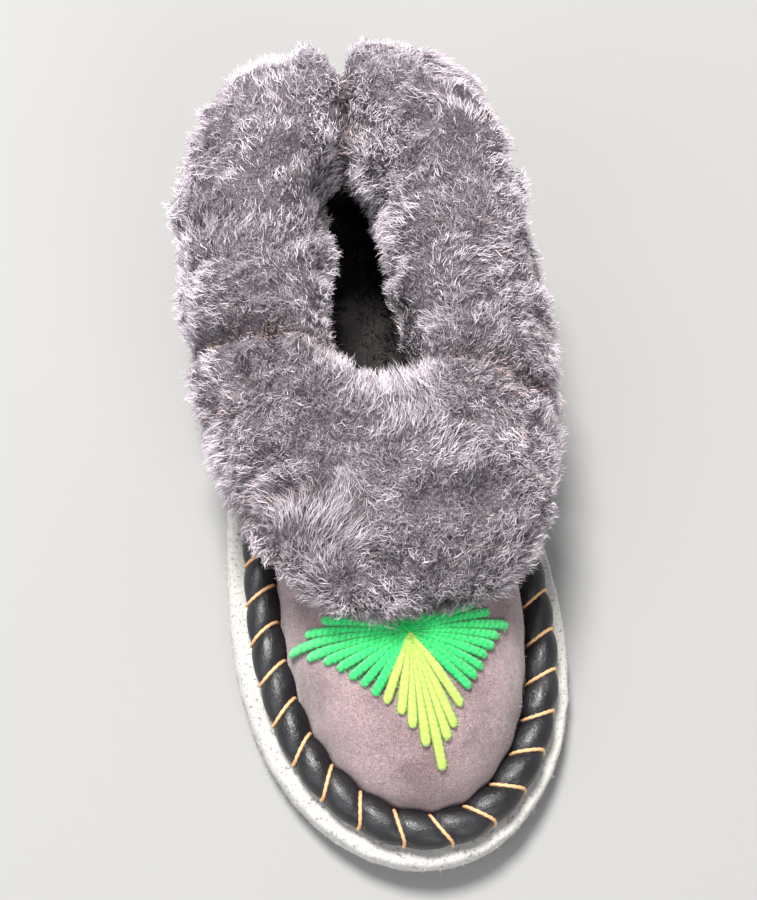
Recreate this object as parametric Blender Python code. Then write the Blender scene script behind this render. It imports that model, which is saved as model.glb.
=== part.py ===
"""Sheepskin house slipper: felt sole, whip-stitched leather roll, suede upper, deep wool cuff, fleece insole.

Frame: metres, +Z up, toe towards -Y, standing on z = 0. The last is straight, so the slipper fits either foot.
Every piece is worked out from one plan outline, the middle line of the leather roll. An angle goes round it:
0 at the toe tip, 90 degrees on the +X side, 180 at the heel.
"""

import math
from collections import namedtuple

import bpy
import numpy as np

MM = 0.001
GAP = 0.35 * MM

# Plan outline of the roll's middle line
ROLL_LINE_LENGTH = 249 * MM
# Half width of the outline in mm divided by the sine of the angle, in even steps of angle from toe to heel
PLAN_SPREAD = (64.6, 61.8, 59.4, 53.2, 45.4, 39.4, 37.6, 42.0, 49.4, 53.2)
STATIONS = 80
# The cuff hangs out behind the heel, so the outline's middle lies ahead of the middle of the whole slipper.
# Distances along Y below are from the outline's middle.
OUTLINE_SHIFT = -4.3 * MM

# Leather roll
ROLL_RADIUS = 5.2 * MM
ROLL_SIDES = 9
STITCH_COUNT = 42
STATIONS_PER_STITCH = 3
STITCH_PINCH = 0.13

# Felt sole
SOLE_THICKNESS = 10 * MM
SOLE_MARGIN = 5.5 * MM
TOE_SPRING = 4 * MM
TOE_SPRING_START = -76 * MM
HEEL_SPRING = 1.5 * MM
HEEL_SPRING_START = 105 * MM
ARCH_LIFT = 1.5 * MM
ARCH_FRONT = -26 * MM
ARCH_REAR = 60 * MM
ACROSS = (-0.72, -0.36, 0.0, 0.36, 0.72)
EdgeRow = namedtuple("EdgeRow", "inset height")
# Side of the sole from its bottom edge to its top edge: inset from the outline and share of the thickness
SOLE_EDGE = (
    EdgeRow(2.2 * MM, 0.0),
    EdgeRow(0.6 * MM, 0.16),
    EdgeRow(0.0 * MM, 0.5),
    EdgeRow(0.5 * MM, 0.86),
    EdgeRow(1.6 * MM, 1.0),
)

# Suede upper
WALL = 2.6 * MM
# Room between the roll and the foot of the upper, which bulges a little as it rises beside the roll
UPPER_FOOT_ROOM = 0.8 * MM
UPPER_ROWS = 12
UPPER_INNER_ROWS = 8
COLLAR_FRONT = -4.5 * MM
COLLAR_REAR = 113.5 * MM
# The three profiles that the upper's sections are blended from: toe line, side and back seam.
# spread: half width of the collar divided by the sine of the angle; collar: height of the collar's edge;
# rise and bulge: upward and outward reach of the curve where it leaves the sole;
# back and drop: share of the way back to the sole, and fall, of the curve where it meets the collar.
Profile = namedtuple("Profile", "spread collar rise bulge back drop")
TOE_PROFILE = Profile(30 * MM, 66 * MM, 34 * MM, 1.0 * MM, 0.45, 12 * MM)
SIDE_PROFILE = Profile(30 * MM, 68 * MM, 24 * MM, 2.0 * MM, 0.30, 22 * MM)
HEEL_PROFILE = Profile(37 * MM, 76 * MM, 25 * MM, 2.5 * MM, 0.0, 25 * MM)

# Fleece insole
INSOLE_THICKNESS = 5 * MM
INSOLE_ROOM = 0.8 * MM
INSOLE_EDGE = (
    EdgeRow(0.8 * MM, 0.0),
    EdgeRow(0.0 * MM, 0.3),
    EdgeRow(0.4 * MM, 0.75),
    EdgeRow(2.0 * MM, 1.0),
)

# Wool cuff: a sheepskin flap folded over the collar, with its pile outwards
CUFF_STATIONS = 96
# One row for each 45 degrees from the front of the cuff to the back: length of the flap from the collar to
# the hem, depth of the pile outside and inside the collar, all in mm
CuffSize = namedtuple("CuffSize", "hem_drop pile inner_pile")
CUFF_SIZES = (
    CuffSize(44, 18, 13),
    CuffSize(54, 22, 14),
    CuffSize(43, 30, 16),
    CuffSize(36, 33, 17),
    CuffSize(36, 27, 23),
)
CUFF_INNER_DROP = 16 * MM
# The wool leans over the opening from the +X side
CUFF_INNER_LEAN = 3.5 * MM
# The parting of the wool at the back seam: share of the pile, and half its width as an angle
CUFF_PARTING = 0.34
CUFF_PARTING_DEG = 6.5
# One row for each line of points round the cuff's section, from the hem over the collar to the inside.
# along: 1 at the hem, 0 at the collar's edge, -1 at the inner end; tilt: direction of the pile in degrees,
# 90 down the flap, 0 straight out, -90 up past the collar, -180 into the shoe; pile: share of the pile's depth
CuffRow = namedtuple("CuffRow", "along tilt pile")
CUFF_PILE_ROWS = (
    CuffRow(1.04, 68, 0.22),
    CuffRow(1.04, 46, 0.54),
    CuffRow(1.00, 24, 0.82),
    CuffRow(0.84, 8, 0.98),
    CuffRow(0.61, 1, 1.04),
    CuffRow(0.38, 0, 1.04),
    CuffRow(0.17, -6, 1.00),
    CuffRow(0.0, -24, 0.94),
    CuffRow(0.0, -58, 0.88),
    CuffRow(0.0, -92, 0.88),
    CuffRow(0.0, -126, 0.94),
    CuffRow(-0.1, -160, 1.00),
    CuffRow(-0.6, -178, 0.96),
    CuffRow(-1.0, -205, 0.80),
    CuffRow(-1.0, -240, 0.40),
)
CUFF_SEAT_OUTSIDE = (0.25, 0.5, 0.75, 0.98)
CUFF_SEAT_INSIDE = (0.95, 0.5)
# A lock of wool is four stations wide, with a parting at its edge, and stands half a lock off from the next row
LOCK_PROFILE = (-1.0, 0.35, 1.0, 0.35)
LOCK_HEIGHT = 2.6 * MM
LOCK_HANG = 2.6 * MM
LOCK_VARIATION = 0.55
LOCK_SEED = 11

COLOURS = {
    # name: colour, roughness
    "felt": ((0.80, 0.77, 0.71), 0.95),
    "black_leather": ((0.014, 0.014, 0.016), 0.38),
    "suede": ((0.165, 0.135, 0.140), 0.95),
    "wool": ((0.230, 0.215, 0.235), 0.95),
    "fleece": ((0.34, 0.29, 0.23), 0.95),
}


def material(name):
    """A plain Principled material with the piece's colour and roughness."""
    colour, roughness = COLOURS[name]
    made = bpy.data.materials.new(name)
    made.use_nodes = True
    shader = made.node_tree.nodes["Principled BSDF"]
    shader.inputs["Base Color"].default_value = (*colour, 1.0)
    shader.inputs["Roughness"].default_value = roughness
    shader.inputs["Metallic"].default_value = 0.0
    return made


def unit(vectors):
    return vectors / np.linalg.norm(vectors, axis=-1, keepdims=True)


def round_table(angle, table):
    """Smooth curve through a column given in even steps from toe to heel, the same on both sides of the slipper."""
    column = np.array(table) * MM
    column = np.concatenate([column[1:2], column, column[-2:-1]])
    folded = np.abs((angle + math.pi) % (2 * math.pi) - math.pi)
    place = folded / math.pi * (len(table) - 1)
    row = np.clip(place.astype(int), 0, len(table) - 2)
    t = place - row
    before, start, end, after = (column[row + k] for k in range(4))
    slope_in = (end - before) / 2
    slope_out = (after - start) / 2
    return (
        start * (1 + 2 * t) * (1 - t) ** 2
        + slope_in * t * (1 - t) ** 2
        + end * t**2 * (3 - 2 * t)
        - slope_out * t**2 * (1 - t)
    )


def roll_line(angle):
    """Plan points of the roll's middle line."""
    x = round_table(angle, PLAN_SPREAD) * np.sin(angle)
    y = -ROLL_LINE_LENGTH / 2 * np.cos(angle)
    return np.stack([x, y], axis=-1)


def plan_normal(angle):
    """Outward normal of the roll's middle line."""
    step = 1e-4
    along = unit(roll_line(angle + step) - roll_line(angle - step))
    return np.stack([along[..., 1], -along[..., 0]], axis=-1)


def outline(angle, offset):
    """Plan points at a distance outside the roll's middle line."""
    return roll_line(angle) + plan_normal(angle) * offset


def stations(count):
    return np.arange(count) * 2 * math.pi / count


def sole_lift(y):
    """Height of the sole's underside: toe spring, raised arch and rounded heel, with flat ground between."""
    end = ROLL_LINE_LENGTH / 2
    toe = np.clip((TOE_SPRING_START - y) / (TOE_SPRING_START + end), 0, None) ** 2
    heel = np.clip((y - HEEL_SPRING_START) / (end - HEEL_SPRING_START), 0, None) ** 2
    arch = np.sin(math.pi * np.clip((y - ARCH_FRONT) / (ARCH_REAR - ARCH_FRONT), 0, 1)) ** 2
    return TOE_SPRING * toe + HEEL_SPRING * heel + ARCH_LIFT * arch


def lifted(plan, height):
    """Plan points set at a height above the sole's underside."""
    return np.concatenate([plan, (sole_lift(plan[..., 1]) + height)[..., None]], axis=-1)


def add_object(name, points, faces, material_name):
    mesh = bpy.data.meshes.new(name)
    mesh.from_pydata((points + [0, OUTLINE_SHIFT, 0]).tolist(), [], faces)
    mesh.materials.append(material(material_name))
    mesh.shade_smooth()
    mesh.set_sharp_from_angle(angle=math.radians(50))
    made = bpy.data.objects.new(name, mesh)
    bpy.context.scene.collection.objects.link(made)
    return made


def ring_solid(name, sections, material_name):
    """A closed ring from an array of sections: station round the slipper, point round the section, x y z."""
    count, sides = sections.shape[:2]
    faces = []
    for i in range(count):
        after = (i + 1) % count
        for j in range(sides):
            beside = (j + 1) % sides
            faces.append((i * sides + j, after * sides + j, after * sides + beside, i * sides + beside))
    return add_object(name, sections.reshape(-1, 3), faces, material_name)


def plate_solid(name, offset, base, thickness, edge, material_name):
    """A plate with a shaped edge: rings of points up its side, and rows of points across its two faces."""
    angle = stations(STATIONS)
    rings = [lifted(outline(angle, offset - row.inset), base + thickness * row.height) for row in edge]
    points = np.concatenate(rings)
    faces = []
    for level in range(len(edge) - 1):
        for i in range(STATIONS):
            after = (i + 1) % STATIONS
            low, high = level * STATIONS, (level + 1) * STATIONS
            faces.append((low + i, low + after, high + after, high + i))
    for ring, height, turned in ((0, edge[0].height, True), (len(edge) - 1, edge[-1].height, False)):
        points, face_faces = plate_face(points, ring * STATIONS, base + thickness * height)
        faces += [tuple(reversed(face)) if turned else face for face in face_faces]
    return add_object(name, points, faces, material_name)


def plate_face(points, first, height):
    """Fills a ring with rows of points across it, each row joining two stations that mirror each other."""
    half = STATIONS // 2
    rows = [[first]]
    for i in range(1, half):
        right = points[first + i]
        left = points[first + STATIONS - i]
        share = (np.array(ACROSS)[:, None] + 1) / 2
        plan = left[:2] + (right[:2] - left[:2]) * share
        row = np.arange(len(ACROSS)) + len(points)
        points = np.concatenate([points, lifted(plan, height)])
        rows.append([first + STATIONS - i, *row.tolist(), first + i])
    rows.append([first + half])
    faces = []
    for low, high in zip(rows, rows[1:]):
        for k in range(max(len(low), len(high)) - 1):
            corners = [low[min(k, len(low) - 1)], low[min(k + 1, len(low) - 1)]]
            corners += [high[min(k + 1, len(high) - 1)], high[min(k, len(high) - 1)]]
            faces.append(tuple(dict.fromkeys(corners)))
    return points, faces


def blended(angle, toe, side, heel):
    """A named size that changes from toe to side to heel round the slipper."""
    front = np.clip(np.cos(angle), 0, 1) ** 2
    rear = np.clip(-np.cos(angle), 0, 1) ** 2
    return toe * front + side * (1 - front - rear) + heel * rear


def profile_size(angle, field):
    return blended(angle, *(getattr(p, field) for p in (TOE_PROFILE, SIDE_PROFILE, HEEL_PROFILE)))


def upper_curve(angle, v):
    """Points on the upper's outside: a cubic curve at each angle from the sole (v = 0) to the collar (v = 1)."""
    foot = lifted(outline(angle, -ROLL_RADIUS - UPPER_FOOT_ROOM), SOLE_THICKNESS + GAP)
    collar_x = profile_size(angle, "spread") * np.sin(angle)
    collar_middle = (COLLAR_FRONT + COLLAR_REAR) / 2
    collar_y = collar_middle - (COLLAR_REAR - COLLAR_FRONT) / 2 * np.cos(angle)
    collar = np.stack([collar_x, collar_y, profile_size(angle, "collar")], axis=-1)
    rise = profile_size(angle, "rise")[..., None] * np.array([0, 0, 1])
    bulge = profile_size(angle, "bulge")[..., None] * plan_normal(angle)
    leave = foot + rise + np.concatenate([bulge, np.zeros_like(bulge[..., :1])], axis=-1)
    meet = collar + (foot - collar) * profile_size(angle, "back")[..., None] * np.array([1, 1, 0])
    meet = meet - profile_size(angle, "drop")[..., None] * np.array([0, 0, 1])
    v = np.asarray(v)[..., None]
    return (1 - v) ** 3 * foot + 3 * (1 - v) ** 2 * v * leave + 3 * (1 - v) * v**2 * meet + v**3 * collar


def upper_frame(angle, v):
    """Outside points of the upper with the outward normal and the direction down its curve."""
    step = 1e-3
    point = upper_curve(angle, v)
    down = unit(upper_curve(angle, v - step) - upper_curve(angle, v + step))
    around = upper_curve(angle + step, v) - upper_curve(angle - step, v)
    normal = unit(np.cross(down, around))
    return point, normal, down


def build_upper():
    """The hollow suede upper: its outside from sole to collar, and its inside back down one wall's thickness in."""
    angle = stations(STATIONS)[:, None]
    outside, _, _ = upper_frame(angle, np.linspace(0, 1, UPPER_ROWS))
    backed, normal, _ = upper_frame(angle, np.linspace(1, 0, UPPER_INNER_ROWS))
    inside = backed - normal * WALL
    inside[:, -1, 2] = outside[:, 0, 2]
    return ring_solid("upper", np.concatenate([outside, inside], axis=1), "suede")


def curve_place(angle, distance):
    """Value of v at a distance down the upper's curve from the collar, one for each angle."""
    fine = np.linspace(1, 0, 120)
    placed = np.empty_like(distance)
    for i, a in enumerate(angle):
        points = upper_curve(np.full_like(fine, a), fine)
        run = np.concatenate([[0], np.cumsum(np.linalg.norm(np.diff(points, axis=0), axis=1))])
        placed[i] = np.interp(distance[i], run, fine)
    return placed


def cuff_column(angle, field):
    return round_table(angle, [getattr(row, field) for row in CUFF_SIZES])


def cuff_base(angle, along):
    """Where a row of the cuff stands on the upper: outside point, normal, down direction."""
    reach = cuff_column(angle, "hem_drop") if along >= 0 else np.full_like(angle, CUFF_INNER_DROP)
    return upper_frame(angle, curve_place(angle, reach * abs(along)))


def lock_shape(row):
    """How far each point of a row of pile stands out: a run of locks, each with its own height."""
    random = np.random.default_rng(LOCK_SEED + row)
    width = len(LOCK_PROFILE)
    heights = 1 + LOCK_VARIATION * random.uniform(-1, 1, CUFF_STATIONS // width)
    run = (heights[:, None] * np.array(LOCK_PROFILE)).ravel()
    return np.roll(run, row % 2 * width // 2)


def build_cuff():
    """The wool cuff: pile rows from the hem over the collar to the inside, then its seat back along the upper."""
    angle = stations(CUFF_STATIONS)
    from_seam = np.degrees(np.abs(angle - math.pi)) / CUFF_PARTING_DEG
    parting = 1 - CUFF_PARTING * np.exp(-(from_seam**2))
    loops = []
    for index, row in enumerate(CUFF_PILE_ROWS):
        point, normal, down = cuff_base(angle, row.along)
        tilt = math.radians(row.tilt)
        within = max(0.0, -math.cos(tilt))
        outward = normal * math.cos(tilt) + down * math.sin(tilt)
        pile = cuff_column(angle, "pile") * (1 - within) + cuff_column(angle, "inner_pile") * within
        pile = pile + CUFF_INNER_LEAN * np.sin(angle) * within
        locks = lock_shape(index) * row.pile
        depth = pile * row.pile * parting + locks * LOCK_HEIGHT
        hang = down * (locks * LOCK_HANG * max(0.0, math.cos(tilt)))[:, None]
        loops.append(point - normal * (WALL * within) + outward * depth[:, None] + hang)
    for along in CUFF_SEAT_INSIDE:
        point, normal, _ = cuff_base(angle, -along)
        loops.append(point - normal * (WALL + GAP))
    point, normal, down = cuff_base(angle, 0.0)
    loops.append(point - normal * (WALL + GAP) - down * GAP)
    loops.append(point + normal * GAP - down * GAP)
    for along in CUFF_SEAT_OUTSIDE:
        point, normal, _ = cuff_base(angle, along)
        loops.append(point + normal * GAP)
    return ring_solid("wool_cuff", np.stack(loops, axis=1), "wool")


def build_roll():
    """The stuffed leather roll that covers the join of upper and sole, drawn in at each whip stitch."""
    count = STITCH_COUNT * STATIONS_PER_STITCH
    fine = stations(1440)
    run = np.linalg.norm(np.diff(roll_line(np.append(fine, 2 * math.pi)), axis=0), axis=1)
    run = np.concatenate([[0], np.cumsum(run)])
    angle = np.interp(np.arange(count) / count * run[-1], run, np.append(fine, 2 * math.pi))
    pinch = np.where(np.arange(count) % STATIONS_PER_STITCH == 0, STITCH_PINCH, 0.0)
    turn = stations(ROLL_SIDES)
    radius = ROLL_RADIUS * (1 - pinch)
    plan = roll_line(angle)[:, None] + plan_normal(angle)[:, None] * (radius[:, None] * np.cos(turn))[..., None]
    lift = sole_lift(roll_line(angle)[:, 1]) + SOLE_THICKNESS + GAP + ROLL_RADIUS
    height = lift[:, None] + radius[:, None] * np.sin(turn)
    sections = np.concatenate([plan, height[..., None]], axis=-1)
    return ring_solid("leather_roll", sections, "black_leather")


def build_sole():
    offset = ROLL_RADIUS + SOLE_MARGIN
    return plate_solid("felt_sole", offset, 0.0, SOLE_THICKNESS, SOLE_EDGE, "felt")


def build_insole():
    offset = -(ROLL_RADIUS + UPPER_FOOT_ROOM + WALL + INSOLE_ROOM)
    base = SOLE_THICKNESS + GAP
    return plate_solid("insole", offset, base, INSOLE_THICKNESS, INSOLE_EDGE, "fleece")


def main():
    for old in list(bpy.data.objects):
        bpy.data.objects.remove(old)
    slipper = bpy.data.objects.new("slipper", None)
    bpy.context.scene.collection.objects.link(slipper)
    for piece in (build_sole(), build_roll(), build_upper(), build_insole(), build_cuff()):
        piece.parent = slipper


main()
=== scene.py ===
import math
from collections import namedtuple

import bmesh
import bpy
import numpy as np
from bpy.props import FloatProperty, FloatVectorProperty, IntProperty, PointerProperty
from mathutils import Matrix, Vector


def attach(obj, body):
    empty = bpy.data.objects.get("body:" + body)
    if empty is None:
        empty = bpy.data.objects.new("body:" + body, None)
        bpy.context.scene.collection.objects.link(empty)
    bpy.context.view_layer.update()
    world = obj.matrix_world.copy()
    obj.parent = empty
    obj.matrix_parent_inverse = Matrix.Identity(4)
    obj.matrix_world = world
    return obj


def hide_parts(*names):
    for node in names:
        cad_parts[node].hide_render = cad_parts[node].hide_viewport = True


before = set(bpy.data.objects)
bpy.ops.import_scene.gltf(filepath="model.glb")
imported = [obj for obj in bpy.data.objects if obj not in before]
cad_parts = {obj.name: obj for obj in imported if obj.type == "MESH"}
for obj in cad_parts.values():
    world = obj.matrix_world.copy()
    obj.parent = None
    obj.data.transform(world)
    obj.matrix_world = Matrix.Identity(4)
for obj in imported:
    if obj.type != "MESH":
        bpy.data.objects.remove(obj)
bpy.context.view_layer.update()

bl_info = {
    "name": "Sheepskin slipper",
    "version": (1, 0, 0),
    "blender": (4, 5, 0),
    "location": "3D View > Sidebar > Slipper",
    "description": "Dresses the slipper's solids in wool, suede, leather, felt, thread and yarn",
    "category": "Object",
}

MM = 0.001
TURN = 2 * math.pi
BODY = "root"
SEAM_REACH = 0.02 * MM

# Sizes shared with the solids. Distances along Y are from the middle of the roll's outline.
OUTLINE_SHIFT = -4.3 * MM
ROLL_LINE_LENGTH = 249 * MM
PLAN_SPREAD = (64.6, 61.8, 59.4, 53.2, 45.4, 39.4, 37.6, 42.0, 49.4, 53.2)
ROLL_RADIUS = 5.2 * MM
ROLL_REST = 0.35 * MM
SOLE_THICKNESS = 10 * MM
SOLE_MARGIN = 5.5 * MM
TOE_SPRING = 4 * MM
TOE_SPRING_START = -76 * MM
HEEL_SPRING = 1.5 * MM
HEEL_SPRING_START = 105 * MM
ARCH_LIFT = 1.5 * MM
ARCH_FRONT = -26 * MM
ARCH_REAR = 60 * MM
WALL = 2.6 * MM
UPPER_FOOT_ROOM = 0.8 * MM
COLLAR_FRONT = -4.5 * MM
COLLAR_REAR = 113.5 * MM
Profile = namedtuple("Profile", "spread collar rise bulge back drop")
TOE_PROFILE = Profile(30 * MM, 66 * MM, 34 * MM, 1.0 * MM, 0.45, 12 * MM)
SIDE_PROFILE = Profile(30 * MM, 68 * MM, 24 * MM, 2.0 * MM, 0.30, 22 * MM)
HEEL_PROFILE = Profile(37 * MM, 76 * MM, 25 * MM, 2.5 * MM, 0.0, 25 * MM)
INSOLE_THICKNESS = 5 * MM
INSOLE_ROOM = 0.8 * MM
INSOLE_OFFSET = -(ROLL_RADIUS + UPPER_FOOT_ROOM + WALL + INSOLE_ROOM)
CuffSize = namedtuple("CuffSize", "hem_drop pile inner_pile")
CUFF_SIZES = (
    CuffSize(44, 18, 13),
    CuffSize(54, 22, 14),
    CuffSize(43, 30, 16),
    CuffSize(36, 33, 17),
    CuffSize(36, 27, 23),
)
CUFF_INNER_DROP = 16 * MM
CUFF_INNER_LEAN = 3.5 * MM
CUFF_PARTING = 0.34
CUFF_PARTING_DEG = 6.5
CuffRow = namedtuple("CuffRow", "along tilt pile")
CUFF_ROWS = (
    CuffRow(1.04, 68, 0.22),
    CuffRow(1.04, 46, 0.54),
    CuffRow(1.00, 24, 0.82),
    CuffRow(0.84, 8, 0.98),
    CuffRow(0.61, 1, 1.04),
    CuffRow(0.38, 0, 1.04),
    CuffRow(0.17, -6, 1.00),
    CuffRow(0.0, -24, 0.94),
    CuffRow(0.0, -58, 0.88),
    CuffRow(0.0, -92, 0.88),
    CuffRow(0.0, -126, 0.94),
    CuffRow(-0.1, -160, 1.00),
    CuffRow(-0.6, -178, 0.96),
    CuffRow(-1.0, -205, 0.80),
    CuffRow(-1.0, -240, 0.40),
)

# Main folds of the cuff: each one's line in plan, its depth and half its width, all in millimetres
Fold = namedtuple("Fold", "line depth width")
CUFF_FOLDS = (
    Fold(((-8, 24), (-34, 29), (-74, 35)), 7.6, 4.2),
    Fold(((8, 20), (32, 13), (54, 3), (78, -8)), 6.0, 4.4),
    Fold(((-3, 80), (-1, 100), (0, 150)), 4.4, 3.6),
    Fold(((-74, -14), (-46, -25), (-18, -30)), 3.0, 4.5),
    Fold(((22, 62), (44, 54), (76, 44)), 2.6, 4.5),
    Fold(((-24, 84), (-46, 74), (-76, 70)), 2.6, 4.5),
)
FRONT_HEM_DROP = 5.2 * MM
# Share of the pile's unevenness that is brushed out at the hem, and the way its streaks run at the front
HEM_EVENNESS = 0.7
STREAK = np.array([0.86, 0.51, 0.0])

# Embroidered fan, by yarn: each stitch's bearing in degrees from straight down the toe, positive to +X,
# and its length in millimetres
FAN_CENTRE = (-4.1 * MM, -67.6 * MM)
FAN_START = -0.7 * MM
FAN_HUB = 3 * MM
FAN = {
    "green": (
        (-176, 7.5), (-166, 9.0), (-156, 11.0), (-146, 13.5), (-137, 16.0), (-128, 19.5),
        (-119, 23.5), (-111, 27.4), (-104, 31.8), (-98, 36.0), (-91, 31.0), (-84, 26.5),
        (-75, 23.5), (-63, 21.7), (-51, 20.6), (-38, 20.9),
        (43, 25.2), (52, 24.8), (61, 25.4), (70, 25.7), (78, 27.8), (85, 29.4),
        (92, 33.6), (100, 27.5), (108, 23.5), (118, 19.5), (128, 16.0), (138, 13.5),
        (149, 11.0), (160, 9.0), (171, 7.5),
    ),
    "lime": (
        (-26, 21.8), (-13, 24.2), (30, 27.1), (-5, 28.2),
        (20, 31.3), (2, 33.8), (14, 33.8), (8, 41.3),
    ),
}


def count_property(name, description, default):
    return IntProperty(name=name, description=description, default=default)


def length_property(name, description, default):
    return FloatProperty(name=name, description=description, default=default, unit="LENGTH")


def colour_property(name, description, default):
    return FloatVectorProperty(name=name, description=description, default=default, subtype="COLOR", size=3)


class SlipperSizes(bpy.types.PropertyGroup):
    """Sizes and counts of the pieces that dress the solids."""

    stitch_count: count_property("Whip stitches", "Stitches round the leather roll", 42)
    stitch_lean: length_property("Stitch lean", "How far along the roll a whip stitch slants", 6.0 * MM)
    stitch_groove: length_property("Stitch groove", "Depth the thread is pulled into the roll", 1.1 * MM)
    thread_radius: length_property("Thread radius", "Half the thickness of the whip thread", 0.62 * MM)
    yarn_radius: length_property("Yarn radius", "Half the thickness of the embroidery yarn", 1.72 * MM)
    yarn_twist: length_property("Yarn twist", "Length of one turn of the yarn's plies", 3.6 * MM)
    lock_spacing: length_property("Lock spacing", "Distance between neighbouring locks of wool", 2.28 * MM)
    hairs_per_lock: count_property("Hairs in a lock", "Wool hairs in each lock", 11)
    hair_length: length_property("Hair length", "Free length of the wool hairs", 2.9 * MM)
    hair_width: length_property("Hair width", "Width of a wool hair at its root", 0.245 * MM)
    hair_crimp: length_property("Crimp", "How far a wool hair waves from side to side", 0.85 * MM)
    hair_frizz: length_property("Frizz", "How far a hair's tip strays from its lock", 0.85 * MM)
    hair_sweep: length_property("Sweep", "How far the wool leans over where it is brushed", 3.4 * MM)
    felt_fibres: count_property("Felt fibres", "Loose fibres on the sole's edge", 5000)
    nap_fibres: count_property("Nap fibres", "Raised fibres on the suede", 9000)
    fleece_hairs: count_property("Fleece hairs", "Wool hairs on the insole", 9000)


class SlipperColours(bpy.types.PropertyGroup):
    """Colours of the slipper's materials."""

    felt: colour_property("Felt", "Sole felt", (0.44, 0.428, 0.410))
    leather: colour_property("Leather", "Leather of the roll", (0.006, 0.006, 0.0075))
    thread: colour_property("Thread", "Waxed whip thread", (0.66, 0.385, 0.19))
    suede: colour_property("Suede", "Brushed suede of the upper", (0.250, 0.181, 0.191))
    # Suede shade is the darker side of the suede's painted sheen, where the nap lies the other way.
    suede_dark: colour_property("Suede shade", "Suede brushed the other way", (0.150, 0.102, 0.108))
    # Wool root and tip: the dark root partly paints the shade deep in the pile, and the light tip partly
    # paints a highlight.
    wool_root: colour_property("Wool root", "Wool near the skin", (0.044, 0.037, 0.043))
    wool_tip: colour_property("Wool tip", "Light ends of the wool", (0.60, 0.550, 0.60))
    wool_warm: colour_property("Warm wool", "Odd brown hairs", (0.40, 0.27, 0.18))
    # The fleece is near black, partly painted shade inside the slipper.
    fleece: colour_property("Fleece", "Fleece inside the slipper", (0.023, 0.020, 0.020))
    green_yarn: colour_property("Green yarn", "Wings of the embroidered fan", (0.022, 0.71, 0.168))
    lime_yarn: colour_property("Lime yarn", "Middle of the embroidered fan", (0.46, 0.67, 0.122))
    floor: colour_property("Floor", "Pale floor", (0.258, 0.258, 0.257))


# Forms shared with the solids


def unit(vectors):
    """Vectors with their length made one."""
    return vectors / np.maximum(np.linalg.norm(vectors, axis=-1, keepdims=True), 1e-12)


def round_table(angle, table):
    """Cubic curve through a column given in even steps from toe to heel, the same on both sides."""
    column = np.array(table) * MM
    column = np.concatenate([column[1:2], column, column[-2:-1]])
    folded = np.abs((angle + math.pi) % TURN - math.pi)
    place = folded / math.pi * (len(table) - 1)
    row = np.clip(place.astype(int), 0, len(table) - 2)
    t = place - row
    before, start, end, after = (column[row + k] for k in range(4))
    slope_in = (end - before) / 2
    slope_out = (after - start) / 2
    return (
        start * (1 + 2 * t) * (1 - t) ** 2
        + slope_in * t * (1 - t) ** 2
        + end * t**2 * (3 - 2 * t)
        - slope_out * t**2 * (1 - t)
    )


def roll_line(angle):
    """Middle line of the roll in plan.

    Across it is the spread times the sine of the angle; along it is half the length times the cosine.
    """
    x = round_table(angle, PLAN_SPREAD) * np.sin(angle)
    return np.stack([x, -ROLL_LINE_LENGTH / 2 * np.cos(angle)], axis=-1)


def plan_normal(angle):
    """Outward normal of the roll's middle line: its tangent turned a quarter."""
    step = 1e-4
    along = unit(roll_line(angle + step) - roll_line(angle - step))
    return np.stack([along[..., 1], -along[..., 0]], axis=-1)


def outline(angle, offset):
    """The roll's middle line moved outwards by an offset along its normal."""
    return roll_line(angle) + plan_normal(angle) * np.asarray(offset)[..., None]


def running_length(line):
    """Distance along a line of points from its first point to each of them."""
    return np.concatenate([[0], np.cumsum(np.linalg.norm(np.diff(line, axis=0), axis=1))])


def roll_run():
    """Fine angles round the slipper, and the length of the roll's middle line up to each of them."""
    fine = np.linspace(0, TURN, 2881)
    return fine, running_length(roll_line(fine))


def even_angles(count):
    """Angles whose points on the roll's middle line are an even distance apart."""
    fine, run = roll_run()
    return np.interp(np.arange(count) / count * run[-1], run, fine)


def sole_lift(y):
    """Toe spring and heel rise are squares of the distance past their start; the arch is a squared sine."""
    end = ROLL_LINE_LENGTH / 2
    toe = np.clip((TOE_SPRING_START - y) / (TOE_SPRING_START + end), 0, None) ** 2
    heel = np.clip((y - HEEL_SPRING_START) / (end - HEEL_SPRING_START), 0, None) ** 2
    arch = np.sin(math.pi * np.clip((y - ARCH_FRONT) / (ARCH_REAR - ARCH_FRONT), 0, 1)) ** 2
    return TOE_SPRING * toe + HEEL_SPRING * heel + ARCH_LIFT * arch


def lifted(plan, height):
    """Plan points raised by the sole's lift and by a height above it."""
    return np.concatenate([plan, (sole_lift(plan[..., 1]) + height)[..., None]], axis=-1)


def blended(angle, toe, side, heel):
    """Mix of three values: toe and heel by the squared cosine, each on its own half, side by the rest."""
    front = np.clip(np.cos(angle), 0, 1) ** 2
    rear = np.clip(-np.cos(angle), 0, 1) ** 2
    return toe * front + side * (1 - front - rear) + heel * rear


def profile_size(angle, field):
    """One size of the upper's section, mixed from the profiles at toe, side and heel."""
    return blended(angle, *(getattr(p, field) for p in (TOE_PROFILE, SIDE_PROFILE, HEEL_PROFILE)))


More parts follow.
